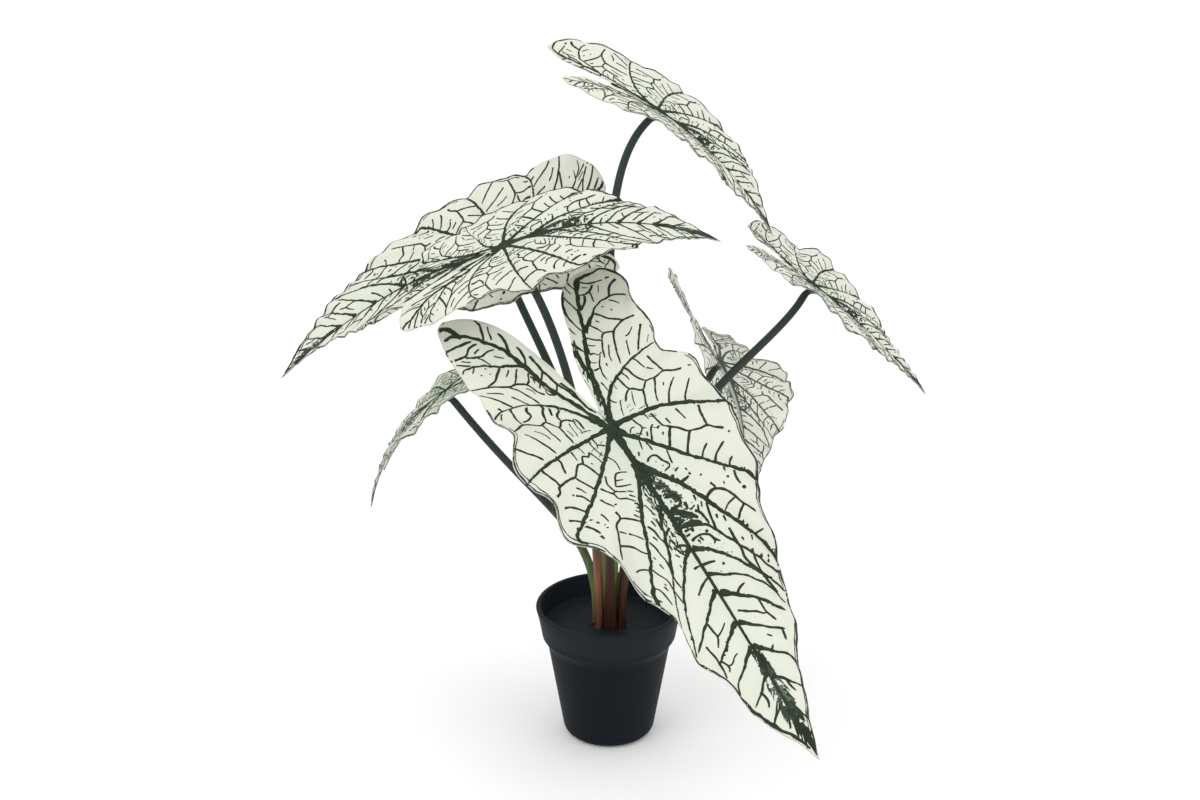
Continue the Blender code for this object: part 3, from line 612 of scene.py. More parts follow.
# The small ribs of the print, in thousandths of the blade's length: for each its half width, and then in turn
# how far along the midrib and how far out from it each of its places lies.
RIBS = (
    # The left lobe.
    (2.4, -413, -93, -388, -97, -358, -102), (2.7, -431, -102, -368, -76, -326, -68, -307, -72, -293, -81),
    (1.8, -300, -53, -283, -54, -275, -57), (2.7, -245, -39, -224, -46, -219, -55),
    (2.4, -194, -27, -170, -25, -149, -31), (2.1, -465, -127, -456, -127, -438, -130),
    (1.5, -452, -116, -442, -114, -423, -115),
    (2.7, -263, -43, -236, -37, -197, -31, -146, -25, -120, -21, -90, -15, -62, -10),
    (3.6, -443, -134, -461, -140, -480, -154, -497, -180, -499, -229, -468, -247, -443, -263, -418, -270,
     -401, -273),
    (2.7, -469, -149, -464, -163, -461, -192, -457, -213),
    (2.7, -455, -170, -440, -157, -427, -143, -422, -129), (2.1, -436, -153, -418, -151, -396, -148),
    (2.1, -422, -139, -392, -125, -369, -109), (1.8, -445, -191, -420, -179), (1.5, -450, -146, -449, -155),
    (3.9, -438, -242, -429, -223, -413, -209, -391, -198), (3.6, -458, -221, -454, -232),
    (2.4, -381, -193, -372, -203, -358, -213), (2.4, -370, -164, -366, -169), (2.4, -348, -181, -344, -185),
    (3.3, -357, -132, -337, -150, -319, -166, -305, -197),
    (3.3, -300, -252, -306, -208, -294, -177, -274, -152, -248, -141, -209, -131, -175, -127),
    (2.7, -277, -153, -281, -125, -260, -109, -237, -99, -204, -89), (2.7, -322, -104, -309, -111, -281, -125),
    (2.1, -331, -123, -320, -132), (2.7, -277, -78, -271, -91, -260, -109),
    (1.8, -252, -67, -251, -77, -252, -86), (2.4, -220, -58, -227, -70, -219, -78, -225, -89),
    (1.5, -193, -48, -197, -63), (2.1, -169, -44, -179, -60), (2.1, -217, -81, -189, -66, -158, -59, -135, -62),
    (1.8, -241, -120, -210, -106, -188, -103), (2.4, -187, -84, -177, -83),
    (2.4, -251, -187, -253, -202, -268, -224), (2.4, -237, -182, -212, -175, -185, -166),
    (3.0, -260, -246, -230, -223, -185, -192), (1.5, -214, -243, -194, -227), (2.1, -107, -20, -125, -35),
    (1.8, -135, -43, -119, -46, -99, -50), (2.4, -87, -36, -71, -44, -60, -55), (1.5, -132, -70, -102, -76),
    (2.4, -170, -166, -144, -176, -120, -183), (2.4, -115, -186, -93, -199),
    (3.0, -151, -208, -122, -212, -92, -215, -66, -217),
    (3.6, -32, -258, -42, -236, -63, -215, -61, -187, -69, -160, -48, -138, -79, -111, -71, -94, -46, -78),
    (3.0, -163, -130, -125, -139, -94, -150, -71, -161), (2.7, -148, -96, -106, -100, -78, -110),
    (2.1, -145, -116, -109, -123), (3.0, -48, -138, -14, -127, 21, -116), (3.0, -60, -184, -18, -164, 15, -153),
    (3.0, -21, -228, -4, -209, 42, -168), (2.4, 10, -269, 29, -247, 57, -207),
    (1.5, -67, -110, -42, -100, -11, -93), (1.8, -62, -66, -31, -56, -6, -50), (2.4, -27, -195, -17, -191),
    (2.1, -28, -278, -22, -288),
    # The right lobe.
    (2.4, -396, 141, -422, 136, -453, 134, -476, 140), (1.8, -394, 124, -417, 123, -441, 121),
    (3.3, -320, 107, -350, 102, -385, 102, -406, 107), (3.0, -259, 92, -290, 82, -319, 81, -340, 84),
    (2.7, -199, 97, -207, 77, -235, 62), (2.4, -151, 64, -167, 55, -181, 48),
    (3.0, -295, 69, -266, 65, -235, 62, -207, 55, -177, 50, -153, 40, -123, 31, -102, 24),
    (3.0, -177, 42, -142, 30, -109, 26, -77, 20, -52, 10), (4.2, -511, 209, -503, 197, -482, 185, -448, 176),
    (2.1, -518, 196, -517, 190), (3.6, -465, 251, -454, 215, -431, 177, -420, 160), (2.4, -465, 254, -451, 259),
    (3.3, -430, 252, -415, 213, -415, 181, -404, 153), (2.4, -396, 178, -388, 155),
    (2.7, -411, 215, -384, 180, -371, 159, -365, 138, -362, 128), (2.4, -383, 181, -364, 171, -343, 165),
    (1.8, -414, 237, -392, 212), (2.7, -439, 264, -432, 260), (2.4, -418, 260, -399, 238, -386, 222),
    (1.5, -344, 136, -321, 119), (3.9, -318, 150, -312, 181, -306, 204, -304, 235),
    (3.0, -312, 278, -305, 246, -290, 216, -268, 182, -258, 156, -237, 127, -218, 117, -196, 113, -179, 100),
    (3.3, -275, 108, -268, 127, -260, 155), (2.7, -246, 91, -232, 105, -233, 122), (2.4, -293, 131, -289, 159),
    (2.4, -377, 217, -367, 240), (2.1, -352, 193, -346, 189), (2.4, -347, 224, -343, 219),
    (1.8, -330, 196, -327, 192), (2.7, -266, 182, -239, 164, -206, 152, -172, 140),
    (2.4, -233, 197, -202, 182, -176, 166), (2.4, -279, 249, -266, 225, -253, 210),
    (2.4, -266, 270, -241, 246, -211, 224, -178, 200), (1.5, -250, 167, -238, 164),
    (1.8, -229, 137, -213, 126, -200, 126), (2.4, -225, 89, -215, 96),
    (2.4, -236, 92, -204, 83, -185, 82, -171, 78, -154, 69), (2.4, -184, 87, -171, 90, -155, 69),
    (2.7, -167, 204, -137, 199, -112, 202, -95, 208),
    (3.0, -161, 171, -135, 167, -117, 160, -106, 176, -103, 196), (2.7, -186, 231, -170, 222),
    (2.1, -156, 224, -133, 236),
    (3.0, -75, 279, -87, 242, -95, 208, -86, 186, -74, 166, -79, 142, -50, 130, -65, 104, -63, 85, -54, 78,
     -59, 69, -41, 65, -16, 77),
    (2.7, -163, 142, -116, 134, -91, 134, -79, 142), (2.1, -141, 127, -94, 114),
    (2.7, -144, 105, -101, 105, -74, 103, -65, 102), (2.7, -72, 163, -27, 180, 10, 167),
    (2.4, -59, 216, -36, 206, -6, 196), (3.0, -50, 130, -15, 143, 22, 131),
    (3.0, -49, 262, -16, 240, 18, 211, 41, 190), (2.7, 6, 309, 25, 280, 42, 248, 53, 231),
    (1.5, -53, 75, -26, 86, 0, 94), (1.5, -51, 92, -21, 109, 6, 111), (1.5, -29, 127, 2, 125),
    # The right half ahead of the joint.
    (2.7, 48, 194, 74, 190, 114, 203), (3.0, 77, 246, 117, 242, 154, 245),
    (3.3, 186, 274, 174, 257, 154, 245, 133, 200, 130, 181, 108, 166, 92, 151, 92, 138, 71, 127, 76, 110,
     63, 103),
    (2.7, 132, 182, 147, 163, 162, 147, 176, 140), (3.0, 92, 141, 105, 126, 125, 112, 140, 106),
    (2.1, 63, 103, 82, 89, 105, 77), (1.8, 22, 83, 46, 84, 66, 77, 81, 66), (2.1, 20, 70, 47, 68, 57, 73),
    (2.1, 46, 68, 54, 42), (2.4, 44, 146, 63, 147, 80, 147), (1.5, 23, 125, 47, 119, 65, 117),
    (2.4, 160, 191, 165, 179, 177, 167), (2.7, 178, 212, 181, 205), (2.7, 181, 200, 185, 181, 205, 172),
    (2.7, 214, 253, 211, 232, 217, 207, 230, 197), (2.7, 245, 249, 247, 230, 258, 219),
    (2.7, 268, 239, 272, 234), (2.1, 96, 113, 100, 108),
    (3.3, 267, 139, 290, 137, 307, 159, 337, 170, 373, 186, 423, 208), (3.0, 290, 137, 295, 111, 304, 87),
    (2.4, 331, 163, 339, 144), (2.4, 340, 138, 348, 124, 359, 109),
    (3.3, 377, 184, 380, 151, 396, 136, 401, 121),
    (2.7, 176, 129, 189, 125, 211, 112, 228, 107, 232, 86, 242, 66),
    (2.4, 144, 97, 169, 107, 189, 107, 204, 100, 211, 75), (2.4, 211, 112, 205, 108, 202, 97),
    (2.4, 148, 69, 147, 55, 151, 38), (2.4, 148, 69, 161, 80, 170, 83, 188, 93), (2.1, 170, 83, 172, 62),
    (2.4, 188, 93, 192, 76, 190, 49), (1.8, 85, 58, 111, 49, 141, 52), (2.7, 211, 151, 230, 146, 250, 133),
    (2.4, 244, 129, 243, 121), (2.7, 257, 179, 273, 176, 291, 175), (2.7, 259, 206, 264, 202),
    (2.7, 275, 201, 283, 199), (3.0, 273, 223, 290, 219, 315, 218), (3.6, 322, 222, 337, 222),
    (2.1, 294, 193, 297, 189), (2.4, 307, 194, 310, 187), (2.4, 209, 71, 213, 56), (2.4, 222, 73, 229, 59),
    (2.4, 247, 73, 255, 62), (2.4, 261, 76, 264, 65), (2.4, 270, 84, 277, 71), (2.4, 283, 95, 292, 82),
    (3.0, 321, 78, 338, 69, 361, 67, 370, 60, 399, 63, 422, 76, 439, 87, 460, 92, 477, 93, 499, 87),
    (2.7, 367, 100, 385, 94, 405, 92, 425, 88, 443, 90),
    (2.7, 448, 137, 462, 130, 479, 117, 503, 114, 536, 105), (2.4, 504, 160, 508, 151, 523, 149, 544, 147),
    (2.7, 458, 173, 452, 161, 451, 142), (2.4, 352, 82, 366, 77), (2.4, 431, 111, 445, 108),
    (1.8, 411, 114, 418, 112), (2.1, 439, 57, 446, 55), (2.1, 486, 131, 492, 130), (2.7, 495, 137, 505, 134),
    (3.0, 527, 53, 512, 37, 493, 11, 490, -2), (2.4, 599, 68, 625, 66, 639, 65, 663, 77),
    (2.1, 639, 65, 631, 51, 624, 43, 613, 30), (2.7, 648, 99, 667, 97, 695, 94, 716, 95, 739, 98),
    (2.4, 696, 87, 716, 79, 729, 85), (2.1, 715, 78, 713, 67, 703, 58, 695, 43),
    (2.4, 801, 40, 823, 35, 843, 39), (1.8, 837, 19, 852, 27, 867, 35), (2.4, 864, 4, 888, 16, 909, 22),
    (3.0, 459, 26, 455, 16, 453, 5),
    # The left half ahead of the joint.
    (2.4, 30, -107, 56, -111, 76, -115, 85, -122),
    (3.3, 174, -257, 160, -237, 144, -220, 141, -199, 133, -171, 125, -161, 108, -148, 96, -135, 85, -122),
    (3.3, 77, -223, 102, -219, 144, -220), (3.6, 133, -171, 155, -150, 185, -132),
    (3.9, 95, -132, 110, -120, 143, -102), (2.4, 54, -168, 74, -172, 97, -178), (2.4, 66, -133, 87, -137),
    (2.7, 62, -96, 69, -87, 101, -72), (3.0, 79, -100, 75, -109), (2.7, 71, -73, 83, -69),
    (2.1, 18, -59, 36, -63, 55, -68, 69, -51), (1.8, 55, -68, 62, -77), (1.8, 23, -93, 42, -94),
    (2.1, 41, -52, 38, -42, 49, -35), (2.4, 96, -108, 104, -104), (2.7, 212, -161, 196, -172, 185, -190),
    (3.0, 238, -185, 218, -200, 206, -235), (3.0, 264, -213, 254, -217, 248, -227), (2.7, 188, -263, 191, -269),
    (2.7, 95, -56, 111, -58, 124, -58), (2.1, 74, -45, 96, -39, 108, -37), (2.7, 107, -25, 117, -20),
    (3.0, 143, -30, 136, -42, 141, -57, 162, -65, 185, -75, 190, -55), (2.7, 146, -90, 166, -86, 185, -83),
    (2.7, 206, -77, 203, -90), (2.4, 215, -104, 223, -106), (3.9, 238, -77, 238, -91, 237, -101),
    (3.0, 230, -105, 237, -107), (4.5, 212, -62, 214, -70), (3.6, 225, -70, 230, -73),
    (3.0, 251, -129, 256, -131), (3.0, 292, -194, 300, -196), (2.4, 303, -176, 311, -174),
    (3.0, 283, -216, 306, -212, 329, -217), (4.2, 337, -221, 349, -222), (2.7, 263, -196, 276, -195),
    (3.9, 311, -108, 304, -122, 304, -142, 324, -165, 347, -177, 374, -186, 416, -210),
    (3.0, 284, -139, 300, -144, 306, -143), (2.7, 352, -174, 354, -151, 364, -132),
    (3.3, 377, -190, 389, -164, 401, -153), (3.6, 409, -159, 416, -159), (3.6, 422, -162, 430, -164),
    (2.7, 285, -84, 302, -80), (2.7, 454, -167, 458, -192), (2.4, 451, -157, 463, -151),
    (3.3, 320, -102, 344, -93, 373, -88, 390, -86, 417, -96, 438, -112), (3.0, 371, -121, 388, -118),
    (3.6, 405, -115, 436, -114, 462, -114, 491, -110, 535, -127, 559, -129, 592, -137),
    (3.3, 477, -139, 501, -132, 522, -129, 544, -125), (4.2, 543, -125, 552, -135, 558, -145),
    (4.2, 500, -150, 508, -151), (2.7, 514, -165, 520, -164), (2.7, 521, -159, 527, -160),
    (3.0, 359, -106, 370, -103), (2.7, 441, -131, 450, -132),
    (3.6, 386, -14, 383, -27, 385, -48, 396, -63, 406, -64, 421, -77), (3.0, 410, -68, 420, -60),
    (4.5, 379, -59, 386, -62), (4.8, 354, -31, 367, -30), (3.6, 453, 3, 455, -17, 460, -35),
    (3.9, 472, -49, 478, -51), (2.7, 554, -40, 545, -50, 540, -68),
    (3.0, 596, -16, 608, -35, 615, -52, 627, -65, 628, -74), (2.7, 589, -76, 609, -74, 628, -75, 652, -87),
    (2.7, 606, -102, 617, -99), (3.3, 676, -91, 691, -89, 707, -85), (2.1, 679, -46, 688, -56),
    (2.7, 718, -37, 707, -47), (2.7, 799, -30, 821, -32, 832, -36), (2.7, 926, -10, 941, -19),
    (2.4, 310, -91, 325, -84), (2.4, 288, -52, 307, -48),
    # The brushed marks beside the midrib.
    (4.5, 255, -40, 277, -46, 288, -40, 289, -25, 283, -14), (6.0, 288, -9, 306, -31, 326, -49, 342, -61),
    (3.6, 322, -63, 335, -73, 353, -77, 368, -78), (6.0, 308, 3, 314, -10, 324, -21, 331, -4),
    (6.0, 342, 4, 341, -22, 344, -44, 357, -63), (3.0, 198, 8, 237, 13), (2.4, 198, 18, 220, 18),
    (2.4, 235, 25, 261, 24), (3.6, 267, 25, 291, 22), (4.5, 288, 13, 313, 35, 335, 48),
    (3.9, 333, 41, 352, 47, 366, 52), (2.7, 302, 42, 326, 47), (2.4, 306, 60, 324, 57), (2.1, 274, 45, 292, 41),
    (2.1, 256, 49, 277, 43), (3.9, 333, 22, 351, 45, 373, 62), (3.0, 235, -5, 264, 1), (2.7, 183, 16, 199, 15),
    (2.4, 220, 28, 241, 27), (3.0, 367, 39, 381, 35), (3.9, 390, 39, 388, 14, 400, -3), (3.0, 390, 45, 406, 32),
    (2.7, 399, 40, 416, 26), (2.7, 410, 52, 419, 44), (2.4, 402, 30, 409, 15), (2.7, 380, 53, 396, 52),
    (2.4, 356, 26, 364, 20), (2.7, 346, 15, 362, 5), (3.3, 355, -11, 357, -29), (3.0, 368, -8, 368, -20),
    (3.0, 391, -28, 399, -31), (2.4, 387, -36, 400, -40), (3.0, 343, -20, 357, -24), (4.2, 173, -20, 193, -21),
    (3.6, 205, -28, 218, -29), (4.8, 167, -14, 183, -22), (3.0, 291, -54, 309, -50), (2.7, 315, -54, 310, -71),
    (2.7, 328, -71, 313, -79), (2.4, 246, 65, 273, 69), (2.4, 220, -23, 227, -36), (2.7, 232, -31, 246, -33),
)


def turn_up(made: BMesh) -> None:
    """Turns every face of a flat mesh upwards.

    Args:
        made: the mesh.
    """
    for face in made.faces:
        face.normal_update()
        if face.normal.z < 0:
            face.normal_flip()


def taken(made: BMesh, name: str) -> Mesh:
    """Takes a finished mesh over from the operators.

    Args:
        made: the mesh that the operators shaped, which is freed.
        name: the new mesh's name.

    Returns:
        The new mesh.
    """
    mesh = bpy.data.meshes.new(name)
    made.to_mesh(mesh)
    made.free()
    return mesh


def put(name: str, data: ID) -> Object:
    """Puts an object into the scene.

    Args:
        name: the object's name.
        data: its mesh, lamp or camera.

    Returns:
        The object, at the origin.
    """
    thing = bpy.data.objects.new(name, data)
    bpy.context.scene.collection.objects.link(thing)
    return thing


@dataclass
class Stroke:
    """One printed mark: its path on the flat blade, and its half width at evenly spaced places along it.

    Other is the half width on its second side where that differs. Cells is how many cells lie across it, lift
    is its share of the print's height, and tone is how thin its ink is, from 0 to 1.
    """

    path: np.ndarray
    widths: np.ndarray
    other: np.ndarray | None = None
    cells: int = 1
    lift: float = 1.0
    tone: float | np.ndarray = 0.0


class FlatPrint:
    """Draws the print on the flat blade as strokes and dots, from the vein plan and a seeded rule."""

    # A stroke flares over this length, and one wider than this is laid two cells wide, to follow the sheet.
    FLARE_LENGTH = 0.020
    WIDE_STROKE = 0.0025
    MOST_CELLS = 60
    # The feathered patch near the tip, for each half: places along the midrib and half widths there.
    PATCH = {
        1: ((0.68, 0.72, 0.755, 0.80, 0.84, 0.88, 0.92, 0.945, 0.99),
            (0.002, 0.006, 0.015, 0.018, 0.016, 0.014, 0.010, 0.006, 0.001)),
        -1: ((0.68, 0.72, 0.75, 0.80, 0.84, 0.88, 0.93, 0.968, 0.99),
             (0.004, 0.009, 0.015, 0.017, 0.018, 0.015, 0.013, 0.009, 0.001)),
    }
    # The line along the margin, as inset, half width and share drawn. For each half, the station where it
    # starts, and a fainter line inside it.
    MARGIN = (0.0028, 0.0021, 0.98)
    MARGINS = {1: (9.5, (0.0105, 0.0014, 0.50)), -1: (6.5, (0.0075, 0.0013, 0.75))}

    def __init__(self, seed: int, bold: float) -> None:
        """Starts an empty drawing.

        Args:
            seed: what fixes every random draw.
            bold: how much wider than the plan every mark is drawn.
        """
        self.random = np.random.default_rng(seed)
        self.bold = bold
        self.strokes: list[Stroke] = []
        self.dots: list[tuple] = []
        self.lines: dict = {}
        for vein in VeinPlan.branches():
            self.lines[vein] = evenly(densely(vein.path(), 301), 151)[0]

    def along(self, vein: Vein, t: float) -> np.ndarray:
        """Finds a place on a vein.

        Args:
            vein: the vein.
            t: the share of its length.

        Returns:
            The place.
        """
        line = self.lines[vein]
        places = np.arange(len(line))
        return np.array([np.interp(t * (len(line) - 1), places, line[:, k]) for k in (0, 1)])

    def draw(self, knots: np.ndarray, start: float, end: float, rough: float = 0.12, close: float = 0.35,
             pitch: float = 0.012, flare: float = 0.0, wobble: float = 0.0006) -> None:
        """Adds a stroke with uneven edges.

        Args:
            knots: places that the stroke passes through.
            start: half width at its first place.
            end: half width at its last place.
            rough: how much the width varies along it.
            close: the share of the width that is left at its last place.
            pitch: the length of one cell.
            flare: how much wider the stroke is where it starts.
            wobble: how far it strays to its sides.
        """
        knots = np.asarray(knots, float)
        rough_length = np.linalg.norm(np.diff(knots, axis=0), axis=1).sum()
        count = int(np.clip(round(rough_length / pitch), 3, self.MOST_CELLS))
        path, reach = evenly(densely(knots, count * 4 + 1), count + 1)
        phase = self.random.uniform(0, 2 * pi, 2)
        shake = np.sin(reach / 0.0062 + phase[0]) + 0.8 * np.sin(reach / 0.0135 + phase[1])
        shake *= wobble * np.clip(reach / 0.02, 0, 1) * np.clip((reach[-1] - reach) / 0.01, 0, 1)
        path = path + left_of(np.gradient(path, axis=0)) * shake[:, None]
        t = np.linspace(0, 1, count + 1)
        widths = (start + (end - start) * t) * self.bold
        widths = widths * (1 + flare * np.exp(-t * reach[-1] / self.FLARE_LENGTH))
        widths = widths * (1 + self.random.normal(0, rough, count + 1).clip(-2 * rough, 2 * rough))
        widths[-1] *= close
        self.strokes.append(Stroke(path, widths, lift=self.random.uniform(0.88, 1.0),
                                   cells=2 if widths.max() > self.WIDE_STROKE else 1))

    def link(self, a: np.ndarray, b: np.ndarray, width: float, bow: float = 0.0, share: tuple = (0.0, 1.0),
             close: float = 0.6) -> None:
        """Adds a thin stroke between two places.

        Args:
            a: the first place.
            b: the last place.
            width: its half width.
            bow: how far its middle lies to one side, as a share of its length.
            share: the part of the way that is drawn.
            close: the share of the width that is left at the end.
        """
        side = np.array([-(b - a)[1], (b - a)[0]])
        middle = (a + b) / 2 + side * bow
        t = np.linspace(share[0], share[1], 4)[:, None]
        self.draw(bowed(a, middle, b, t), width * 1.15, width * 0.85, rough=0.10, close=close, pitch=0.011)

    def main_veins(self) -> None:
        """Draws the midrib and the veins of the plan."""
        t = np.linspace(0, 0.99, 110)
        half = np.interp(t, [0, 0.03, 0.08, 0.13, 0.2, 0.33, 0.42, 0.6, 0.72, 1],
                         [0.0180, 0.0140, 0.0100, 0.0095, 0.0078, 0.0064, 0.0050, 0.0038, 0.0036, 0.0022])
        path = np.stack([t, np.zeros_like(t)], 1)
        noise = self.bold * (1 + self.random.normal(0, 0.07, (2, len(t))))
        self.strokes.append(Stroke(path, half * noise[0], half * noise[1], cells=2))
        for vein in VeinPlan.branches():
            from_midrib = abs(vein.places[1]) < 30
            self.draw(vein.path(), vein.start / 1000 * 1.1, vein.end / 1000 * 1.15, rough=0.15, close=0.5,
                      pitch=0.0065, flare=1.0 if from_midrib else 0.2, wobble=0.0009)
        # The knot where the primaries meet the stem.
        t = np.linspace(-1, 1, 15)
        self.strokes.append(Stroke(np.stack([t * 0.031, np.zeros(15)], 1),
                                   (0.0235 * np.sqrt(np.maximum(1 - t * t, 0.003))) * self.bold, cells=6))
        self.draw([(0.004, 0.0), (-0.024, 0.001), (-0.052, 0.0)], 0.021, 0.012, rough=0.10, close=0.5)

    def net(self) -> None:
        """Draws the small ribs."""
        for half, *places in RIBS:
            path = np.array(places).reshape(-1, 2) / 1000
            self.draw(path, half / 1000, half / 1100, rough=0.13, close=0.6, pitch=0.008, wobble=0.0004)

    def spurs(self, vein: Vein, count: int) -> None:
        """Adds short spurs that stand on the sides of a vein.

        Args:
            vein: the vein.
            count: how many spurs.
        """
        draw, line = self.random, self.lines[vein]
        for _ in range(count):
            i = int(draw.integers(8, len(line) - 6))
            ahead = line[i + 1] - line[i - 1]
            ahead = ahead / max(1e-9, np.linalg.norm(ahead))
            way = np.array([-ahead[1], ahead[0]]) * draw.choice([-1, 1]) + ahead * draw.uniform(-0.3, 0.3)
            self.link(line[i], line[i] + way * draw.uniform(0.0045, 0.0075), draw.uniform(0.0018, 0.0028), 0.0)

    def hatch(self, a: Vein, b: Vein, count: int, span: tuple, length: tuple = (0.010, 0.024),
              width: float = 0.0011) -> None:
        """Scatters short thin strokes that run with two veins.

        Args:
            a: the vein on one side.
            b: the vein on the other side.
            count: how many strokes.
            span: where along the veins they lie.
            length: the shortest and the longest stroke.
            width: half width of a stroke.
        """
        draw = self.random
        for _ in range(count):
            t, f = draw.uniform(*span), draw.uniform(0.12, 0.88)
            place = self.along(a, t) * (1 - f) + self.along(b, t) * f
            ahead = self.along(a, min(1, t + 0.05)) * (1 - f) + self.along(b, min(1, t + 0.05)) * f
            way = ahead - place
            way = way / max(1e-6, np.linalg.norm(way)) * draw.uniform(*length)
            self.link(place, place + way, width * draw.uniform(0.7, 1.2), draw.uniform(-0.15, 0.15))

    def feather(self, side: int) -> None:
        """Draws one half of the feathered patch along the midrib near the tip.

        Args:
            side: 1 for the right half, -1 for the left.
        """
        draw = self.random
        t = np.linspace(0.680, 0.990, 60)
        body = np.interp(t, *self.PATCH[side])
        path = np.stack([t, np.zeros_like(t)], 1)
        wide = np.maximum(body * (1 + draw.normal(0, 0.20, len(t))), 0.0006)
        none = np.full(len(t), 0.0003)
        pair = (wide, none) if side > 0 else (none, wide)
        tone = np.interp(t, [0.73, 0.77, 0.80, 0.84, 0.88, 0.95], [0.0, 0.6, 1.0, 0.85, 0.25, 0.1])
        self.strokes.append(Stroke(path, *pair, cells=2, lift=0.84, tone=tone))
        for _ in range(30):
            u = draw.uniform(0.690, 0.955)
            reach = np.interp(u, [0.69, 0.78, 0.87, 0.96], [0.010, 0.022, 0.021, 0.008])
            reach = reach * draw.uniform(0.8, 1.2)
            root = reach * draw.uniform(0.45, 0.75)
            self.draw([(u, side * root), (u + 0.010, side * (root + reach) * 0.52),
                       (u + 0.022, side * reach)], 0.0030, 0.0006, rough=0.2, close=0.2, pitch=0.008)
            self.strokes[-1].tone = float(np.interp(u, [0.72, 0.80, 0.90], [0, draw.uniform(0, 0.7), 0]))

    def wash(self, knots: list, width: float, tone: float) -> None:
        """Lays a paler, ragged patch under the other marks.

        Args:
            knots: places that it passes through.
            width: its half width.
            tone: how thin its ink is.
        """
        self.draw(knots, width * 0.8, width * 0.7, rough=0.34, close=0.3, pitch=0.006)
        self.strokes[-1].lift = 0.80
        self.strokes[-1].tone = tone

    def brush(self) -> None:
        """Draws the brushed marks beside the midrib in the blade's near half."""
        draw = self.random
        self.wash([(0.180, -0.012), (0.208, -0.022), (0.232, -0.032), (0.253, -0.040), (0.277, -0.048)],
                  0.0115, 0.5)
        self.wash([(0.240, -0.020), (0.262, -0.036), (0.280, -0.046)], 0.0090, 0.35)
        self.wash([(0.290, -0.010), (0.312, -0.030), (0.335, -0.052)], 0.0100, 0.3)
        self.draw([(0.112, 0.0), (0.150, -0.006), (0.190, -0.014)], 0.013, 0.005, rough=0.2, pitch=0.007)
        t = np.linspace(0.140, 0.43, 56)
        knots = [0.14, 0.18, 0.22, 0.26, 0.30, 0.34, 0.38, 0.43]
        left = np.interp(t, knots, [0.007, 0.007, 0.007, 0.008, 0.009, 0.008, 0.005, 0.003])
        right = np.interp(t, knots, [0.007, 0.009, 0.008, 0.007, 0.010, 0.009, 0.005, 0.003])
        left = left * (1 + draw.normal(0, 0.30, len(t)))
        right = right * (1 + draw.normal(0, 0.32, len(t)))
        path = np.stack([t, np.zeros_like(t)], 1)
        self.strokes.append(Stroke(path, np.maximum(right, 0.002), np.maximum(left, 0.002), cells=2, lift=0.95))
        for _ in range(96):
            u = draw.uniform(0.180, 0.345)
            out = -np.interp(u, [0.18, 0.28, 0.345], [0.020, 0.052, 0.050]) * draw.uniform(0.35, 1.1)
            way = np.array([draw.uniform(0.001, 0.0035), -draw.uniform(0.001, 0.0040)])
            place = np.array([u, out])
            self.link(place - way, place + way, draw.uniform(0.0010, 0.0023), draw.uniform(-0.2, 0.2))
            self.strokes[-1].tone = draw.choice([0.0, 0.0, 0.3])
        for _ in range(70):
            u = draw.uniform(0.18, 0.41)
            out = np.interp(u, [0.18, 0.30, 0.41], [0.016, 0.046, 0.050]) * draw.uniform(0.35, 1.1)
            way = np.array([draw.uniform(0.003, 0.009), draw.uniform(-0.003, 0.003)])
            place = np.array([u, out])
            self.link(place - way, place + way, draw.uniform(0.0009, 0.0018), draw.uniform(-0.1, 0.1))
        for _ in range(50):
            u, out = draw.uniform(0.14, 0.50), -draw.uniform(0.020, 0.090)
            size = draw.uniform(0.0010, 0.0024)
            self.dots.append((np.array([u, out]), size, size * draw.uniform(0.5, 0.9), draw.uniform(0, pi), 6))

    def margin_line(self, side: int, first: float, inset: float, width: float, keep: float) -> None:
        """Draws the thin line that follows the margin.

        Args:
            side: 1 for the right half, -1 for the left.
            first: the station where it starts.
            inset: how far the line lies inside the margin.
            width: its half width.
            keep: the share of its length that is drawn.
        """
        count, longest, shortest = 260, 40, 4
        edge = smooth_curve(STATIONS[:, :2], np.linspace(first, LAST - 0.25, count))
        inwards = -left_of(np.gradient(edge, axis=0))
        flow = self.random.normal(0, 1, count + 1).cumsum()
        flow = np.convolve(flow - flow.mean(), np.ones(9) / 9, "same")[:count]
        line = edge + inwards * (inset * (1 + 0.25 * np.sin(np.linspace(0, 40, count))))[:, None]
        line[:, 1] = np.maximum(line[:, 1], 0.0015) * side
        drawn = np.argsort(np.argsort(flow)) < keep * count
        start = None
        for i in range(count):
            if drawn[i] and start is None:
                start = i
            if start is not None and (not drawn[i] or i == count - 1 or i - start >= longest):
                if i - start >= shortest:
                    self.draw(line[start:i + 1:2], width, width, rough=0.22, close=0.7, pitch=0.010)
                start = i if drawn[i] else None

    def compose(self) -> None:
        """Draws the whole print."""
        self.main_veins()
        self.net()
        for half in (VeinPlan.RIGHT, VeinPlan.LEFT):
            self.hatch(half["shoulder"], half["first"], 4, (0.12, 0.30))
            self.hatch(half["first"], half["second"], 4, (0.10, 0.30))
            for name in ("shoulder", "first", "second", "third", "fifth", "seventh"):
                self.spurs(half[name], 8)
        self.brush()
        for side, (first, inner) in self.MARGINS.items():
            self.feather(side)
            self.margin_line(side, first, *self.MARGIN)
            self.margin_line(side, first + 1, *inner)

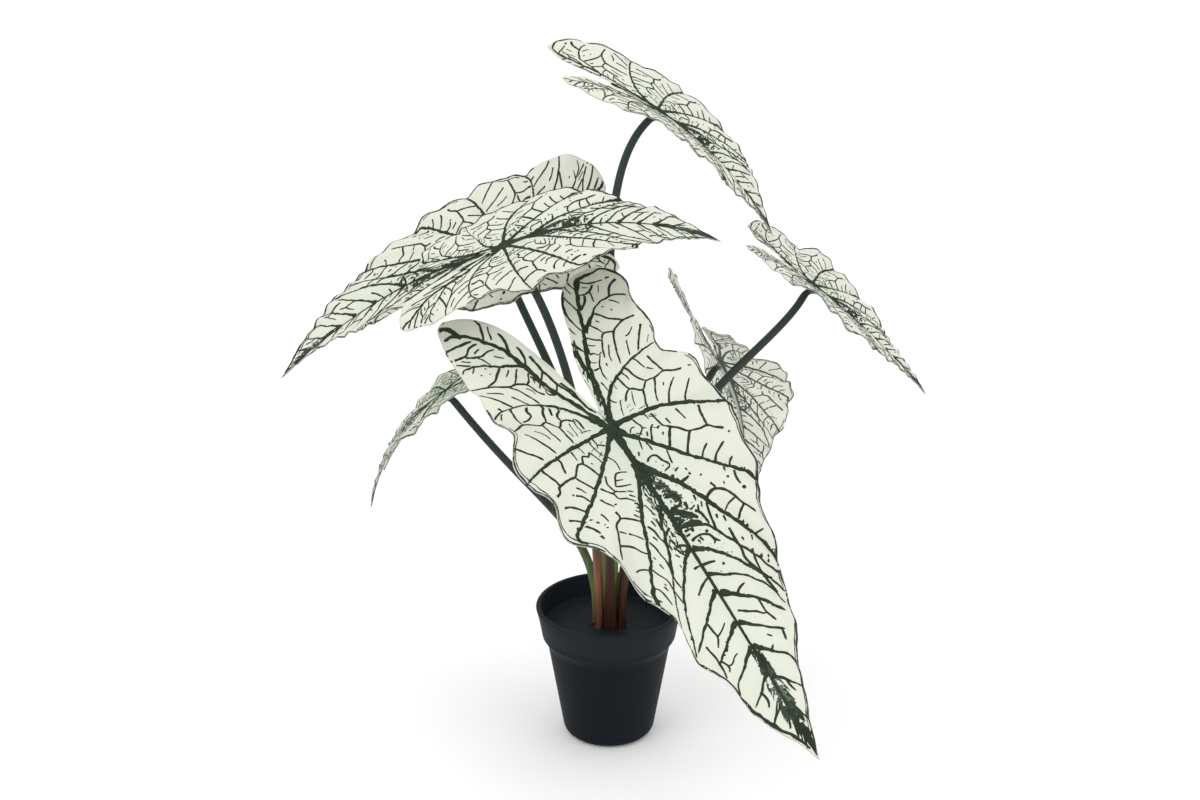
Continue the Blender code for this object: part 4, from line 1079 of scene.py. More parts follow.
    def mesh(self) -> Mesh:
        """Lays every mark out as one flat mesh.

        Returns:
            The mesh, whose vertices carry each mark's height and how thin its ink is.
        """
        made = bmesh.new()
        lift = made.verts.layers.float.new("lift")
        tone = made.verts.layers.float.new("tone")
        for stroke in self.strokes:
            self.lay(made, stroke, lift, tone)
        for place, long, short, angle, sides in self.dots:
            where = Matrix.Translation((place[0], -place[1], 0)) @ Matrix.Rotation(angle, 4, "Z")
            where = where @ Matrix.Diagonal((long, short, 1, 1))
            ring = bmesh.ops.create_circle(made, cap_ends=True, segments=sides, radius=1, matrix=where)
            level = self.random.uniform(0.88, 1.0)
            for vertex in ring["verts"]:
                vertex[lift] = level
        turn_up(made)
        return taken(made, "flat_print")

    @staticmethod
    def lay(made: BMesh, stroke: Stroke, lift: BMLayerItem, tone: BMLayerItem) -> None:
        """Lays one stroke as a strip of cells.

        Args:
            made: the mesh of the whole print.
            stroke: the stroke to lay.
            lift: the layer that holds a mark's height.
            tone: the layer that holds how thin its ink is.
        """
        count = len(stroke.path) - 1
        strip = bmesh.ops.create_grid(made, x_segments=count, y_segments=stroke.cells, size=1)
        across = left_of(np.gradient(stroke.path, axis=0))
        other = stroke.widths if stroke.other is None else stroke.other
        for vertex in strip["verts"]:
            i = int(round((vertex.co.x + 1) / 2 * count))
            reach = stroke.widths[i] if vertex.co.y > 0 else other[i]
            place = stroke.path[i] + across[i] * reach * vertex.co.y
            vertex.co = (place[0], -place[1], 0)
            vertex[lift] = stroke.lift
            vertex[tone] = float(np.broadcast_to(stroke.tone, len(stroke.path))[i])


def flat_sheet(rows: int = 26) -> Mesh:
    """Cuts the flat blade, both halves, as one mesh.

    Args:
        rows: how many rows of faces lie between the midrib and the margin.

    Returns:
        The mesh, whose vertices carry their station, share and side.
    """
    made = bmesh.new()
    layers = [made.verts.layers.float.new(name) for name in ("station", "share", "side")]
    steps = [PANEL_COLUMNS * (2 if k == LONG_PANEL else 1) for k in range(LAST)]
    columns = np.concatenate([k + np.arange(n) / n for k, n in enumerate(steps)] + [[LAST]])
    for side in (1, -1):
        grid = bmesh.ops.create_grid(made, x_segments=len(columns) - 1, y_segments=rows, size=1)
        vertices = grid["verts"]
        station = np.array([columns[int(round((v.co.x + 1) / 2 * (len(columns) - 1)))] for v in vertices])
        share = np.array([((v.co.y + 1) / 2) ** ROW_POWER for v in vertices])
        flat = flat_point(station, share)
        for i, vertex in enumerate(vertices):
            vertex.co = (flat[i, 0], -side * flat[i, 1], 0)
            for layer, value in zip(layers, (station[i], share[i], side)):
                vertex[layer] = value
    bmesh.ops.remove_doubles(made, verts=made.verts, dist=1e-6)
    bmesh.ops.dissolve_degenerate(made, dist=1e-7, edges=made.edges)
    turn_up(made)
    return taken(made, "flat_sheet")


def floats(mesh: Mesh, name: str) -> np.ndarray:
    """Reads a float that is stored for each vertex of a mesh.

    Args:
        mesh: the mesh.
        name: the name of the attribute.

    Returns:
        One value for each vertex.
    """
    values = np.zeros(len(mesh.vertices), np.float32)
    mesh.attributes[name].data.foreach_get("value", values)
    return values.astype(float)


def store(mesh: Mesh, name: str, values: np.ndarray) -> None:
    """Stores a float for each vertex of a mesh under a name that materials read."""
    attribute = mesh.attributes.get(name) or mesh.attributes.new(name, "FLOAT", "POINT")
    attribute.data.foreach_set("value", np.asarray(values, np.float32))


def places(mesh: Mesh) -> np.ndarray:
    """Reads where a mesh's vertices lie.

    Args:
        mesh: the mesh.

    Returns:
        One row of X, Y and Z for each vertex.
    """
    values = np.zeros(len(mesh.vertices) * 3, np.float32)
    mesh.vertices.foreach_get("co", values)
    return values.reshape(-1, 3).astype(float)


def move(mesh: Mesh, rows: np.ndarray) -> None:
    """Moves a mesh's vertices to new places, one row each."""
    mesh.vertices.foreach_set("co", rows.astype(np.float32).ravel())
    mesh.update()


def bend(mesh: Mesh, leaf: Leaf) -> None:
    """Bends a flat mesh to the leaf's pose, by the station, share, side and relief of its vertices.

    Args:
        mesh: the flat mesh.
        leaf: the leaf whose pose it takes.
    """
    station, share, side = floats(mesh, "station"), floats(mesh, "share"), floats(mesh, "side")
    relief = floats(mesh, "relief")
    bent = np.zeros((len(station), 3))
    for half in (1, -1):
        chosen = side == half
        if chosen.any():
            bent[chosen] = leaf.points(half, station[chosen], share[chosen], relief[chosen])
    move(mesh, bent)


class Tree:
    """Adds and wires the nodes of one shader tree."""

    # Where a Mix node keeps its colours.
    COLOR_A = 6
    COLOR_B = 7
    COLOR_RESULT = 2

    def __init__(self, tree: NodeTree) -> None:
        """Args: tree, the node tree to fill."""
        self.tree = tree

    def add(self, kind: str, settings: dict | None = None, **inputs: Value) -> Node:
        """Adds a node.

        Args:
            kind: its type.
            settings: attributes of the node.
            inputs: values or sockets by input name, with _ for a space.

        Returns:
            The node.
        """
        node = self.tree.nodes.new(kind)
        for name, value in (settings or {}).items():
            setattr(node, name, value)
        for name, value in inputs.items():
            self.feed(node, name.replace("_", " "), value)
        return node

    def feed(self, node: Node, name: str | int, value: Value) -> None:
        """Sets an input of a node to a value, or wires a socket to it.

        Args:
            node: the node.
            name: the input's name or number.
            value: the value or the socket.
        """
        socket = node.inputs[name]
        if isinstance(value, NodeSocket):
            self.tree.links.new(value, socket)
        else:
            socket.default_value = value

    def stored(self, name: str) -> NodeSocket:
        """Returns the float that is stored under this name on the mesh."""
        return self.add("ShaderNodeAttribute", {"attribute_name": name}).outputs["Fac"]

    def ramp(self, factor: NodeSocket, stops: list) -> NodeSocket:
        """Adds a colour ramp.

        Args:
            factor: the socket that drives it.
            stops: pairs of position and colour.

        Returns:
            The colour socket.
        """
        node = self.add("ShaderNodeValToRGB", Fac=factor)
        elements = node.color_ramp.elements
        while len(elements) < len(stops):
            elements.new(0.5)
        for element, (position, color) in zip(elements, stops):
            element.position = position
            element.color = (*color, 1.0)
        return node.outputs["Color"]

    def math(self, operation: str, a: Value, b: Value, clamp: bool = False) -> NodeSocket:
        """Adds a Math node.

        Args:
            operation: what it works out.
            a: the first value.
            b: the second value.
            clamp: whether the result is kept from 0 to 1.

        Returns:
            The result.
        """
        node = self.add("ShaderNodeMath", {"operation": operation, "use_clamp": clamp})
        self.feed(node, 0, a)
        self.feed(node, 1, b)
        return node.outputs[0]

    def mix(self, factor: NodeSocket, a: NodeSocket, b: tuple) -> NodeSocket:
        """Mixes a colour into another.

        Args:
            factor: the share of the second colour.
            a: the first colour.
            b: the second colour, as red, green and blue.

        Returns:
            The mixed colour.
        """
        node = self.add("ShaderNodeMix", {"data_type": "RGBA"})
        self.feed(node, "Factor", factor)
        self.feed(node, self.COLOR_A, a)
        self.feed(node, self.COLOR_B, (*b, 1.0))
        return node.outputs[self.COLOR_RESULT]


def grain_group() -> NodeTree:
    """Builds the grain that every finish shares: soft mottling, fine grain and a blend of both.

    Returns:
        The node group, made once.
    """
    group = bpy.data.node_groups.get("surface_grain")
    if group:
        return group
    group = bpy.data.node_groups.new("surface_grain", "ShaderNodeTree")
    face = group.interface
    face.new_socket(name="Vector", in_out="INPUT", socket_type="NodeSocketVector")
    for name, value in (("Mottle Scale", 20.0), ("Grain Scale", 900.0), ("Mottle Share", 0.6)):
        socket = face.new_socket(name=name, in_out="INPUT", socket_type="NodeSocketFloat")
        socket.default_value = value
    for name in ("Mottle", "Grain", "Shade"):
        face.new_socket(name=name, in_out="OUTPUT", socket_type="NodeSocketFloat")
    tree = Tree(group)
    given = tree.add("NodeGroupInput")
    result = tree.add("NodeGroupOutput")
    mottle = tree.add("ShaderNodeTexNoise", Vector=given.outputs["Vector"], Scale=given.outputs["Mottle Scale"],
                      Detail=4.0, Roughness=0.55)
    grain = tree.add("ShaderNodeTexNoise", Vector=given.outputs["Vector"], Scale=given.outputs["Grain Scale"],
                     Detail=3.0, Roughness=0.6)
    share = given.outputs["Mottle Share"]
    whole = tree.math("ADD", tree.math("MULTIPLY", mottle.outputs["Fac"], share),
                      tree.math("MULTIPLY", grain.outputs["Fac"], tree.math("SUBTRACT", 1.0, share)))
    tree.feed(result, "Mottle", mottle.outputs["Fac"])
    tree.feed(result, "Grain", grain.outputs["Fac"])
    tree.feed(result, "Shade", whole)
    return group


# The grain's noise stays mostly between these, and a finish's roughness wanders this much.
DARK_SHADE = 0.34
LIGHT_SHADE = 0.66
ROUGHNESS_SPREAD = 0.07


@dataclass(frozen=True)
class Finish:
    """What every finish has: a name, a roughness and the scales of its grain."""

    name: str
    roughness: float = 0.6
    mottle: float = 20.0
    grain: float = 900.0
    bump: float = 0.05
    depth: float = 0.0002
    specular: float = 0.5

    def material(self) -> Material:
        """Makes the finish's material, once.

        Returns:
            The material.
        """
        found = bpy.data.materials.get(self.name)
        if found:
            return found
        material = bpy.data.materials.new(self.name)
        material.use_nodes = True
        tree = Tree(material.node_tree)
        shader = material.node_tree.nodes["Principled BSDF"]
        coordinates = tree.add("ShaderNodeTexCoord")
        grain = tree.add("ShaderNodeGroup", {"node_tree": grain_group()}, Vector=coordinates.outputs["Object"],
                         Mottle_Scale=self.mottle, Grain_Scale=self.grain)
        shader.inputs["Specular IOR Level"].default_value = self.specular
        tree.feed(shader, "Base Color", self.color(tree, coordinates.outputs["Object"], grain))
        rough = tree.add("ShaderNodeMapRange", Value=grain.outputs["Shade"], From_Min=0.3, From_Max=0.7,
                         To_Min=self.roughness - ROUGHNESS_SPREAD, To_Max=self.roughness + ROUGHNESS_SPREAD)
        tree.feed(shader, "Roughness", rough.outputs[0])
        bump = tree.add("ShaderNodeBump", Strength=self.bump, Distance=self.depth,
                        Height=grain.outputs["Grain"])
        tree.feed(shader, "Normal", bump.outputs["Normal"])
        return material

    def color(self, tree: Tree, place: NodeSocket, grain: Node) -> NodeSocket:
        """Adds the nodes of the finish's colour.

        Args:
            tree: the material's tree.
            place: the place on the object.
            grain: the node of the shared grain.

        Returns:
            The colour socket.
        """
        raise NotImplementedError


@dataclass(frozen=True, kw_only=True)
class TwoTone(Finish):
    """A finish that wanders between two colours."""

    light: tuple
    dark: tuple

    def color(self, tree: Tree, place: NodeSocket, grain: Node) -> NodeSocket:
        """Returns a ramp from the dark colour to the light one, as in Finish."""
        return tree.ramp(grain.outputs["Shade"], [(DARK_SHADE, self.dark), (LIGHT_SHADE, self.light)])


@dataclass(frozen=True, kw_only=True)
class SheetFinish(TwoTone):
    """The blade's printed cloth: cream panels that turn pale green near the veins."""

    tinted: tuple

    def color(self, tree: Tree, place: NodeSocket, grain: Node) -> NodeSocket:
        """Tints the cream base green by the stored tint, as in Finish.

        Args:
            tree: the material's tree.
            place: the place on the object.
            grain: the node of the shared grain.

        Returns:
            The colour socket.
        """
        cream = super().color(tree, place, grain)
        mottle = tree.math("MULTIPLY", grain.outputs["Mottle"], 1.6)
        share = tree.math("MULTIPLY", tree.stored("tint"), mottle, clamp=True)
        return tree.mix(share, cream, self.tinted)


@dataclass(frozen=True)
class InkFinish(TwoTone):
    """The dark print, with washed patches where the ink is thin."""

    wash: tuple = (0.150, 0.180, 0.145)

    def color(self, tree: Tree, place: NodeSocket, grain: Node) -> NodeSocket:
        """Washes the ink out by the stored tone, as in Finish.

        Args:
            tree: the material's tree.
            place: the place on the object.
            grain: the node of the shared grain.

        Returns:
            The colour socket.
        """
        ink = super().color(tree, place, grain)
        speckle = tree.ramp(grain.outputs["Grain"], [(0.40, (0.6, 0.6, 0.6)), (0.60, (1, 1, 1))])
        return tree.mix(tree.math("MULTIPLY", tree.stored("tone"), speckle), ink, self.wash)


@dataclass(frozen=True, kw_only=True)
class StemFinish(Finish):
    """A moulded stem: coloured low down, slate green above, pale where it runs on as the blade's rib."""

    roughness: float = 0.50
    specular: float = 0.25
    low: tuple
    middle: tuple
    streak: tuple
    slate: tuple = (0.020, 0.033, 0.024)
    rib: tuple = (0.42, 0.44, 0.40)
    slate_height: float = 0.235
    fibres: float = 420.0

    def color(self, tree: Tree, place: NodeSocket, grain: Node) -> NodeSocket:
        """Runs the stem's colours up its height and along its rib, as in Finish.

        Args:
            tree: the material's tree.
            place: the place on the object.
            grain: the node of the shared grain.

        Returns:
            The colour socket.
        """
        stretched = tree.add("ShaderNodeMapping", Vector=place, Scale=(1.0, 1.0, 0.05))
        fibre = tree.add("ShaderNodeTexNoise", Vector=stretched.outputs[0], Scale=self.fibres, Detail=3.0)
        parts = tree.add("ShaderNodeSeparateXYZ", Vector=place)
        height = tree.add("ShaderNodeMapRange", Value=parts.outputs["Z"], From_Min=FILL_TOP,
                          From_Max=self.slate_height)
        wander = tree.math("ADD", height.outputs[0],
                           tree.math("MULTIPLY", tree.math("SUBTRACT", fibre.outputs["Fac"], 0.5), 0.5))
        body = tree.ramp(wander, [(0.0, self.low), (0.35, self.middle), (0.72, self.slate)])
        fade = tree.math("SUBTRACT", 1.0, height.outputs[0], clamp=True)
        lines = tree.ramp(fibre.outputs["Fac"], [(0.50, (0, 0, 0)), (0.62, (1, 1, 1))])
        streaks = tree.math("MULTIPLY", tree.math("MULTIPLY", lines, fade), 0.75)
        body = tree.mix(streaks, body, self.streak)
        return tree.mix(tree.stored("zone"), body, self.rib)


@dataclass(frozen=True)
class PotFinish(TwoTone):
    """Black plastic whose collar and inner wall above the shoulder are painted a little paler, as painted light
    against the shade that falls there, which sets in between two heights.
    """

    # Painted light: a paler colour on the collar and inner wall that offsets the shade falling there.
    collar_painted_light: tuple = (0.0104, 0.0144, 0.0180)
    between: tuple = (0.092, 0.104)

    def color(self, tree: Tree, place: NodeSocket, grain: Node) -> NodeSocket:
        """Paints light over the base above the shoulder, as in Finish.

        Args:
            tree: the material's tree.
            place: the place on the object.
            grain: the node of the shared grain.

        Returns:
            The colour socket.
        """
        base = super().color(tree, place, grain)
        parts = tree.add("ShaderNodeSeparateXYZ", Vector=place)
        high = tree.add("ShaderNodeMapRange", Value=parts.outputs["Z"], From_Min=self.between[0],
                        From_Max=self.between[1])
        uneven = tree.math("ADD", 0.55, grain.outputs["Shade"])
        share = tree.math("MULTIPLY", high.outputs[0], uneven, clamp=True)
        return tree.mix(share, base, self.collar_painted_light)


@dataclass(frozen=True)
class FillFinish(TwoTone):
    """The dark filling, with a few pale specks."""

    speck: tuple = (0.16, 0.17, 0.16)

    def color(self, tree: Tree, place: NodeSocket, grain: Node) -> NodeSocket:
        """Strews pale specks where the filling is rough, as in Finish.

        Args:
            tree: the material's tree.
            place: the place on the object.
            grain: the node of the shared grain.

        Returns:
            The colour socket.
        """
        base = super().color(tree, place, grain)
        cells = tree.add("ShaderNodeTexVoronoi", Vector=place, Scale=260.0)
        dots = tree.ramp(cells.outputs["Distance"], [(0.05, (1, 1, 1)), (0.12, (0, 0, 0))])
        return tree.mix(tree.math("MULTIPLY", dots, tree.stored("rough"), clamp=True), base, self.speck)


SHEET = SheetFinish("printed_sheet_top", roughness=0.62, mottle=16.0, grain=1300.0, bump=0.10, depth=0.0003,
                    specular=0.30, light=(0.700, 0.720, 0.622), dark=(0.645, 0.660, 0.568),
                    tinted=(0.500, 0.590, 0.475))
# Painted light: the back's creams are paler than the top's to offset the shade that the blades' undersides sit
# in.
SHEET_BACK_PAINTED_LIGHT = SheetFinish("printed_sheet_back_painted_light", roughness=0.75, mottle=16.0, grain=1300.0, bump=0.15,
                         depth=0.0003, specular=0.25, light=(0.830, 0.840, 0.745), dark=(0.770, 0.780, 0.690),
                         tinted=(0.700, 0.740, 0.650))
# Painted shade: the blade's cut edge is dark grey to stand in for the shadow line along the margin.
SHEET_EDGE_SHADE = TwoTone("sheet_edge_painted_shade", roughness=0.8, mottle=60.0, light=(0.50, 0.52, 0.44),
                     dark=(0.30, 0.32, 0.26))
INK = InkFinish("vein_print_top", mottle=70.0, grain=1600.0, specular=0.15,
                light=(0.030, 0.046, 0.027), dark=(0.013, 0.022, 0.012))
INK_BACK = InkFinish("vein_print_back", roughness=0.65, mottle=70.0, grain=1600.0, specular=0.15,
                     light=(0.125, 0.145, 0.105), dark=(0.055, 0.070, 0.046), wash=(0.30, 0.35, 0.27))
POT_BLACK = PotFinish("pot_plastic_black", roughness=0.58, mottle=14.0, grain=700.0, bump=0.06, specular=0.09,
                      light=(0.0062, 0.0092, 0.0126), dark=(0.0038, 0.0060, 0.0086))
FILL_BLACK = FillFinish("fill_black_top", roughness=0.72, mottle=30.0, grain=600.0, bump=0.35, depth=0.0006,
                        light=(0.0115, 0.0168, 0.0200), dark=(0.0062, 0.0092, 0.0118), specular=0.16)
FLOOR = TwoTone("studio_floor_pale", roughness=0.9, mottle=2.0, grain=300.0, bump=0.0,
                light=(0.97, 0.97, 0.97), dark=(0.965, 0.965, 0.965), specular=0.1)
STEMS = {
    StemTone.GREEN: StemFinish("stem_green_low", low=(0.120, 0.085, 0.028),
                               middle=(0.070, 0.125, 0.042), streak=(0.190, 0.215, 0.070)),
    StemTone.OLIVE: StemFinish("stem_olive_low", low=(0.260, 0.250, 0.075),
                               middle=(0.210, 0.260, 0.080), streak=(0.400, 0.410, 0.160)),
    StemTone.RUSSET: StemFinish("stem_russet_low", low=(0.100, 0.036, 0.022),
                                middle=(0.270, 0.098, 0.056), streak=(0.140, 0.090, 0.038)),
    StemTone.BROWN: StemFinish("stem_brown_low", low=(0.034, 0.012, 0.008),
                               middle=(0.056, 0.021, 0.012), streak=(0.060, 0.030, 0.014)),
}


def new_piece(name: str, mesh: Mesh, finishes: list) -> Object:
    """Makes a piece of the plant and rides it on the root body.

    Args:
        name: the piece's name.
        mesh: its mesh, in place.
        finishes: its finishes, in the order of its material indices.

    Returns:
        The piece.
    """
    piece = put(name, mesh)
    mesh.materials.clear()
    for finish in finishes:
        mesh.materials.append(finish.material())
    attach(piece, "root")
    LOG.info("%s: %d faces", name, len(mesh.polygons))
    return piece


@dataclass
class LeafAssembly:
    """A leaf: its sheet, its print and its stem."""

    leaf: Leaf
    print_thickness: float = 0.00120
    stem_sides: int = 20
    ground: BVHTree | None = None

    def build(self, sheet: Mesh, marks: Mesh) -> None:
        """Builds the three pieces.

        Args:
            sheet: the flat sheet.
            marks: the flat print.
        """
        self.build_sheet(sheet)
        self.build_print(marks)
        self.build_stem()

    def build_sheet(self, flat: Mesh) -> None:
        """Bends a copy of the flat sheet and gives it its thickness.

        Args:
            flat: the flat sheet.
        """
        name = self.leaf.name
        mesh = self.bent_copy(flat, name + "_sheet")
        store(mesh, "tint", np.clip(floats(mesh, "tint") + self.leaf.green, 0, 1))
        faces = [tuple(face.vertices) for face in mesh.polygons]
        self.ground = BVHTree.FromPolygons(places(mesh).tolist(), faces)
        piece = new_piece(name + "_sheet", mesh, [SHEET, SHEET_BACK_PAINTED_LIGHT, SHEET_EDGE_SHADE])
        self.thicken(piece, BLADE_THICKNESS, 2)
        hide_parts(name + "_blade")

    def build_print(self, flat: Mesh) -> None:
        """Bends a copy of the flat print and lays it through the sheet, a little proud of both faces.

        Args:
            flat: the flat print.
        """
        name = self.leaf.name
        mesh = self.bent_copy(flat, name + "_veins")
        move(mesh, np.array([self.ground.find_nearest(Vector(place))[0] for place in places(mesh)]))
        piece = new_piece(name + "_veins", mesh, [INK, INK_BACK])
        modifier = self.thicken(piece, self.print_thickness, 0)
        levels = np.round(floats(mesh, "lift"), 2)
        group = piece.vertex_groups.new(name="lift")
        for level in np.unique(levels):
            group.add(np.flatnonzero(levels == level).tolist(), float(level), "REPLACE")
        modifier.vertex_group = "lift"

    def bent_copy(self, flat: Mesh, name: str) -> Mesh:
        """Bends a smooth copy of a flat mesh to the leaf's pose.

        Args:
            flat: the flat mesh, which stays as it is.
            name: the copy's name.

        Returns:
            The copy.
        """
        mesh = flat.copy()
        mesh.name = name
        bend(mesh, self.leaf)
        mesh.polygons.foreach_set("use_smooth", [True] * len(mesh.polygons))
        return mesh

    @staticmethod
    def thicken(piece: Object, thickness: float, rim: int) -> Modifier:
        """Gives a sheet its thickness, half of it to each side.

        Args:
            piece: the sheet.
            thickness: the distance between its faces.
            rim: the material index of its edge, counted from that of its face.

        Returns:
            The modifier.
        """
        modifier = piece.modifiers.new("Thickness", "SOLIDIFY")
        modifier.thickness = thickness
        modifier.offset = 0
        modifier.use_even_offset = False
        modifier.material_offset = 1
        modifier.material_offset_rim = rim
        return modifier

    def build_stem(self) -> None:
        """Draws a ring of edges along the stem's path and closes its ends."""
        knots, radii, zones = self.leaf.stem_path()
        x = np.linspace(0, len(knots) - 1, (len(knots) - 1) * 3 + 1)
        path = smooth_curve(knots, x)
        radius = np.interp(x, np.arange(len(radii)), radii)
        zone = np.interp(x, np.arange(len(zones)), zones)
        ahead = np.gradient(path, axis=0)
        ahead /= np.linalg.norm(ahead, axis=1)[:, None]
        made = bmesh.new()
        layer = made.verts.layers.float.new("zone")
        turn = Vector((0, 0, 1)).rotation_difference(Vector(ahead[0])).to_matrix().to_4x4()
        where = Matrix.Translation(path[0]) @ turn
        ring = bmesh.ops.create_circle(made, cap_ends=False, segments=self.stem_sides, radius=radius[0],
                                       matrix=where)["verts"]
        edges = list({edge for vertex in ring for edge in vertex.link_edges})
        for i in range(1, len(path)):
            grown = bmesh.ops.extrude_edge_only(made, edges=edges)["geom"]
            ring = [item for item in grown if isinstance(item, BMVert)]
            edges = [item for item in grown if isinstance(item, BMEdge)]
            turn = Vector(ahead[i - 1]).rotation_difference(Vector(ahead[i])).to_matrix().to_4x4()
            grow = Matrix.Scale(radius[i] / radius[i - 1], 4)
            shift = Matrix.Translation(path[i]) @ turn @ grow @ Matrix.Translation(-Vector(path[i - 1]))
            bmesh.ops.transform(made, matrix=shift, verts=ring)
            for vertex in ring:
                vertex[layer] = zone[i]
        bmesh.ops.holes_fill(made, edges=[edge for edge in made.edges if edge.is_boundary], sides=0)
        bmesh.ops.recalc_face_normals(made, faces=made.faces)
        for face in made.faces:
            face.smooth = len(face.verts) == 4
        mesh = taken(made, self.leaf.name + "_petiole")
        piece = new_piece(mesh.name, mesh, [STEMS[self.leaf.tone]])
        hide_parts(self.leaf.name + "_stem")


def turned(name: str, profile: list, steps: int, sharp: float = 40.0) -> Mesh:
    """Spins a profile about the Z axis.

    Args:
        name: the mesh's name.
        profile: pairs of radius and height.
        steps: how many steps make the full turn.
        sharp: the angle in degrees from which an edge stays crisp.

    Returns:
        The closed mesh.
    """
    made = bmesh.new()
    corners = [made.verts.new((radius, 0, height)) for radius, height in profile]
    edges = [made.edges.new(pair) for pair in zip(corners, corners[1:])]
    bmesh.ops.spin(made, geom=corners + edges, axis=(0, 0, 1), cent=(0, 0, 0), steps=steps, angle=2 * pi,
                   use_merge=True)
    bmesh.ops.remove_doubles(made, verts=made.verts, dist=1e-6)
    bmesh.ops.recalc_face_normals(made, faces=made.faces)
    for edge in made.edges:
        edge.smooth = edge.calc_face_angle(0) < radians(sharp)
    for face in made.faces:
        face.smooth = True
    return taken(made, name)


def arc(centre: tuple, radius: float, start: float, end: float, count: int) -> list:
    """Draws an arc in the profile plane.

    Args:
        centre: its centre.
        radius: its radius.
        start: the angle of its first point in degrees.
        end: the angle of its last point.
        count: how many points.

    Returns:
        The points.
    """
    angles = [radians(start + (end - start) * i / (count - 1)) for i in range(count)]
    return [(centre[0] + radius * cos(a), centre[1] + radius * sin(a)) for a in angles]


@dataclass
class Pot:
    """The tapered nursery pot with its collar over a sloped shoulder and its rolled rim."""

    height: float = 0.125
    rim_radius: float = 0.065
    rim_land: float = 0.0042
    collar_height: float = 0.029
    collar_bottom: float = 0.0597
    body_top: float = 0.0560
    foot_radius: float = 0.0413
    foot_round: float = 0.0090
    foot_recess: float = 0.0008
    recess_radius: float = 0.030
    recess_slope: float = 0.0015
    collar_round: float = 0.0020
    rim_round: float = 0.0019
    lip_round: float = 0.0010
    wall: float = 0.0022
    floor: float = 0.0035
    floor_round: float = 0.003
    steps: int = 144

    def inner_radius(self, height: float) -> float:
        """Works out how wide the pot is inside.

        Args:
            height: the height above the foot.

        Returns:
            The radius of the inside there.
        """
        step = self.height - self.collar_height
        if height > step:
            share = (height - step) / self.collar_height
            low, high = self.collar_bottom - self.rim_land + 0.0004, self.rim_radius - self.rim_land
            return low * (1 - share) + high * share
        share = height / step
        return (self.foot_radius - self.wall - 0.0006) * (1 - share) + (self.body_top - self.wall) * share

    def build(self) -> None:
        """Builds the pot as one turned shell."""
        step = self.height - self.collar_height
        recess, roll, collar, lip = self.foot_recess, self.rim_round, self.collar_round, self.lip_round
        profile = [(0, recess), (self.recess_radius, recess), (self.recess_radius + self.recess_slope, 0)]
        profile += arc((self.foot_radius - self.foot_round, self.foot_round), self.foot_round, -90, -6, 13)
        profile += [(self.body_top - drop, step - low) for drop, low in (
            (0.0018, 0.0110), (0.0015, 0.0092), (0.0011, 0.0078), (0.0006, 0.0066), (-0.0001, 0.0053))]
        profile += arc((self.collar_bottom - collar, step + 0.0012), collar, -52, -4, 6)
        profile += [(self.collar_bottom + (self.rim_radius - self.collar_bottom) * 0.5, step + 0.0165)]
        profile += arc((self.rim_radius - roll, self.height - roll), roll, 0, 90, 9)
        profile += arc((self.rim_radius - self.rim_land + lip, self.height - lip), lip, 90, 180, 5)
        profile += [(self.inner_radius(step + 0.0005), step + 0.0005)]
        profile += [(self.inner_radius(step - 0.0015), step - 0.0015)]
        low = self.floor + self.floor_round
        profile += [(self.inner_radius(low), low)]
        profile += [(self.foot_radius - self.wall - 0.0025, self.floor), (0, self.floor)]
        piece = new_piece("nursery_pot", turned("nursery_pot", profile, self.steps), [POT_BLACK])
        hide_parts("pot")


@dataclass
class Filling:
    """The dark filling that holds the stems, a little rough where they stand in it."""

    pot: Pot = field(default_factory=Pot)
    steps: int = 120
    rings: int = 22
    edge_rise: float = 0.0015
    # Round each stem the filling is heaped and rough: from here out, over this reach.
    heap_start: float = 0.004
    heap_reach: float = 0.006
    heap: float = 0.0006
    ripple: float = 0.00005
    rough_ripple: float = 0.00022

    def build(self) -> None:
        """Builds the plug and roughens its top."""
        pot = self.pot
        step = pot.height - pot.collar_height
        edge = pot.inner_radius(FILL_TOP) - GAP
        low = pot.floor + 0.0035
        profile = [(0, pot.floor + GAP), (pot.foot_radius - pot.wall - 0.0032, pot.floor + GAP)]
        profile += [(pot.inner_radius(low) - GAP, low)]
        profile += [(pot.inner_radius(step - 0.0015) - GAP, step - 0.0015)]
        profile += [(pot.inner_radius(step + 0.002) - GAP, step + 0.002), (edge, FILL_TOP + self.edge_rise)]
        for i in range(self.rings + 1):
            radius = (edge - 0.0012) * (1 - i / self.rings)
            profile.append((radius, FILL_TOP + self.edge_rise * max(0.0, 1 - (edge - radius) / 0.004) ** 2))
        mesh = turned("planting_fill", profile, self.steps)
        co = places(mesh)
        top = co[:, 2] > FILL_TOP - 0.0005
        centres = np.array([leaf.base for leaf in LEAVES])
        reach = np.min(np.linalg.norm(co[:, None, :2] - centres[None], axis=2), axis=1)
        near = np.exp(-((np.maximum(reach - self.heap_start, 0) / self.heap_reach) ** 2)) * top
        draw = np.random.default_rng(5)
        waves = sum(np.sin(co[:, 0] * a + co[:, 1] * b + c) for a, b, c in draw.uniform(-900, 900, (7, 3)))
        co[:, 2] += top * waves * (self.ripple + self.rough_ripple * near) + near * self.heap
        move(mesh, co)
        store(mesh, "rough", np.clip(0.10 + near, 0, 1) * top)
        piece = new_piece("planting_fill", mesh, [FILL_BLACK])
        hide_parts("fill")


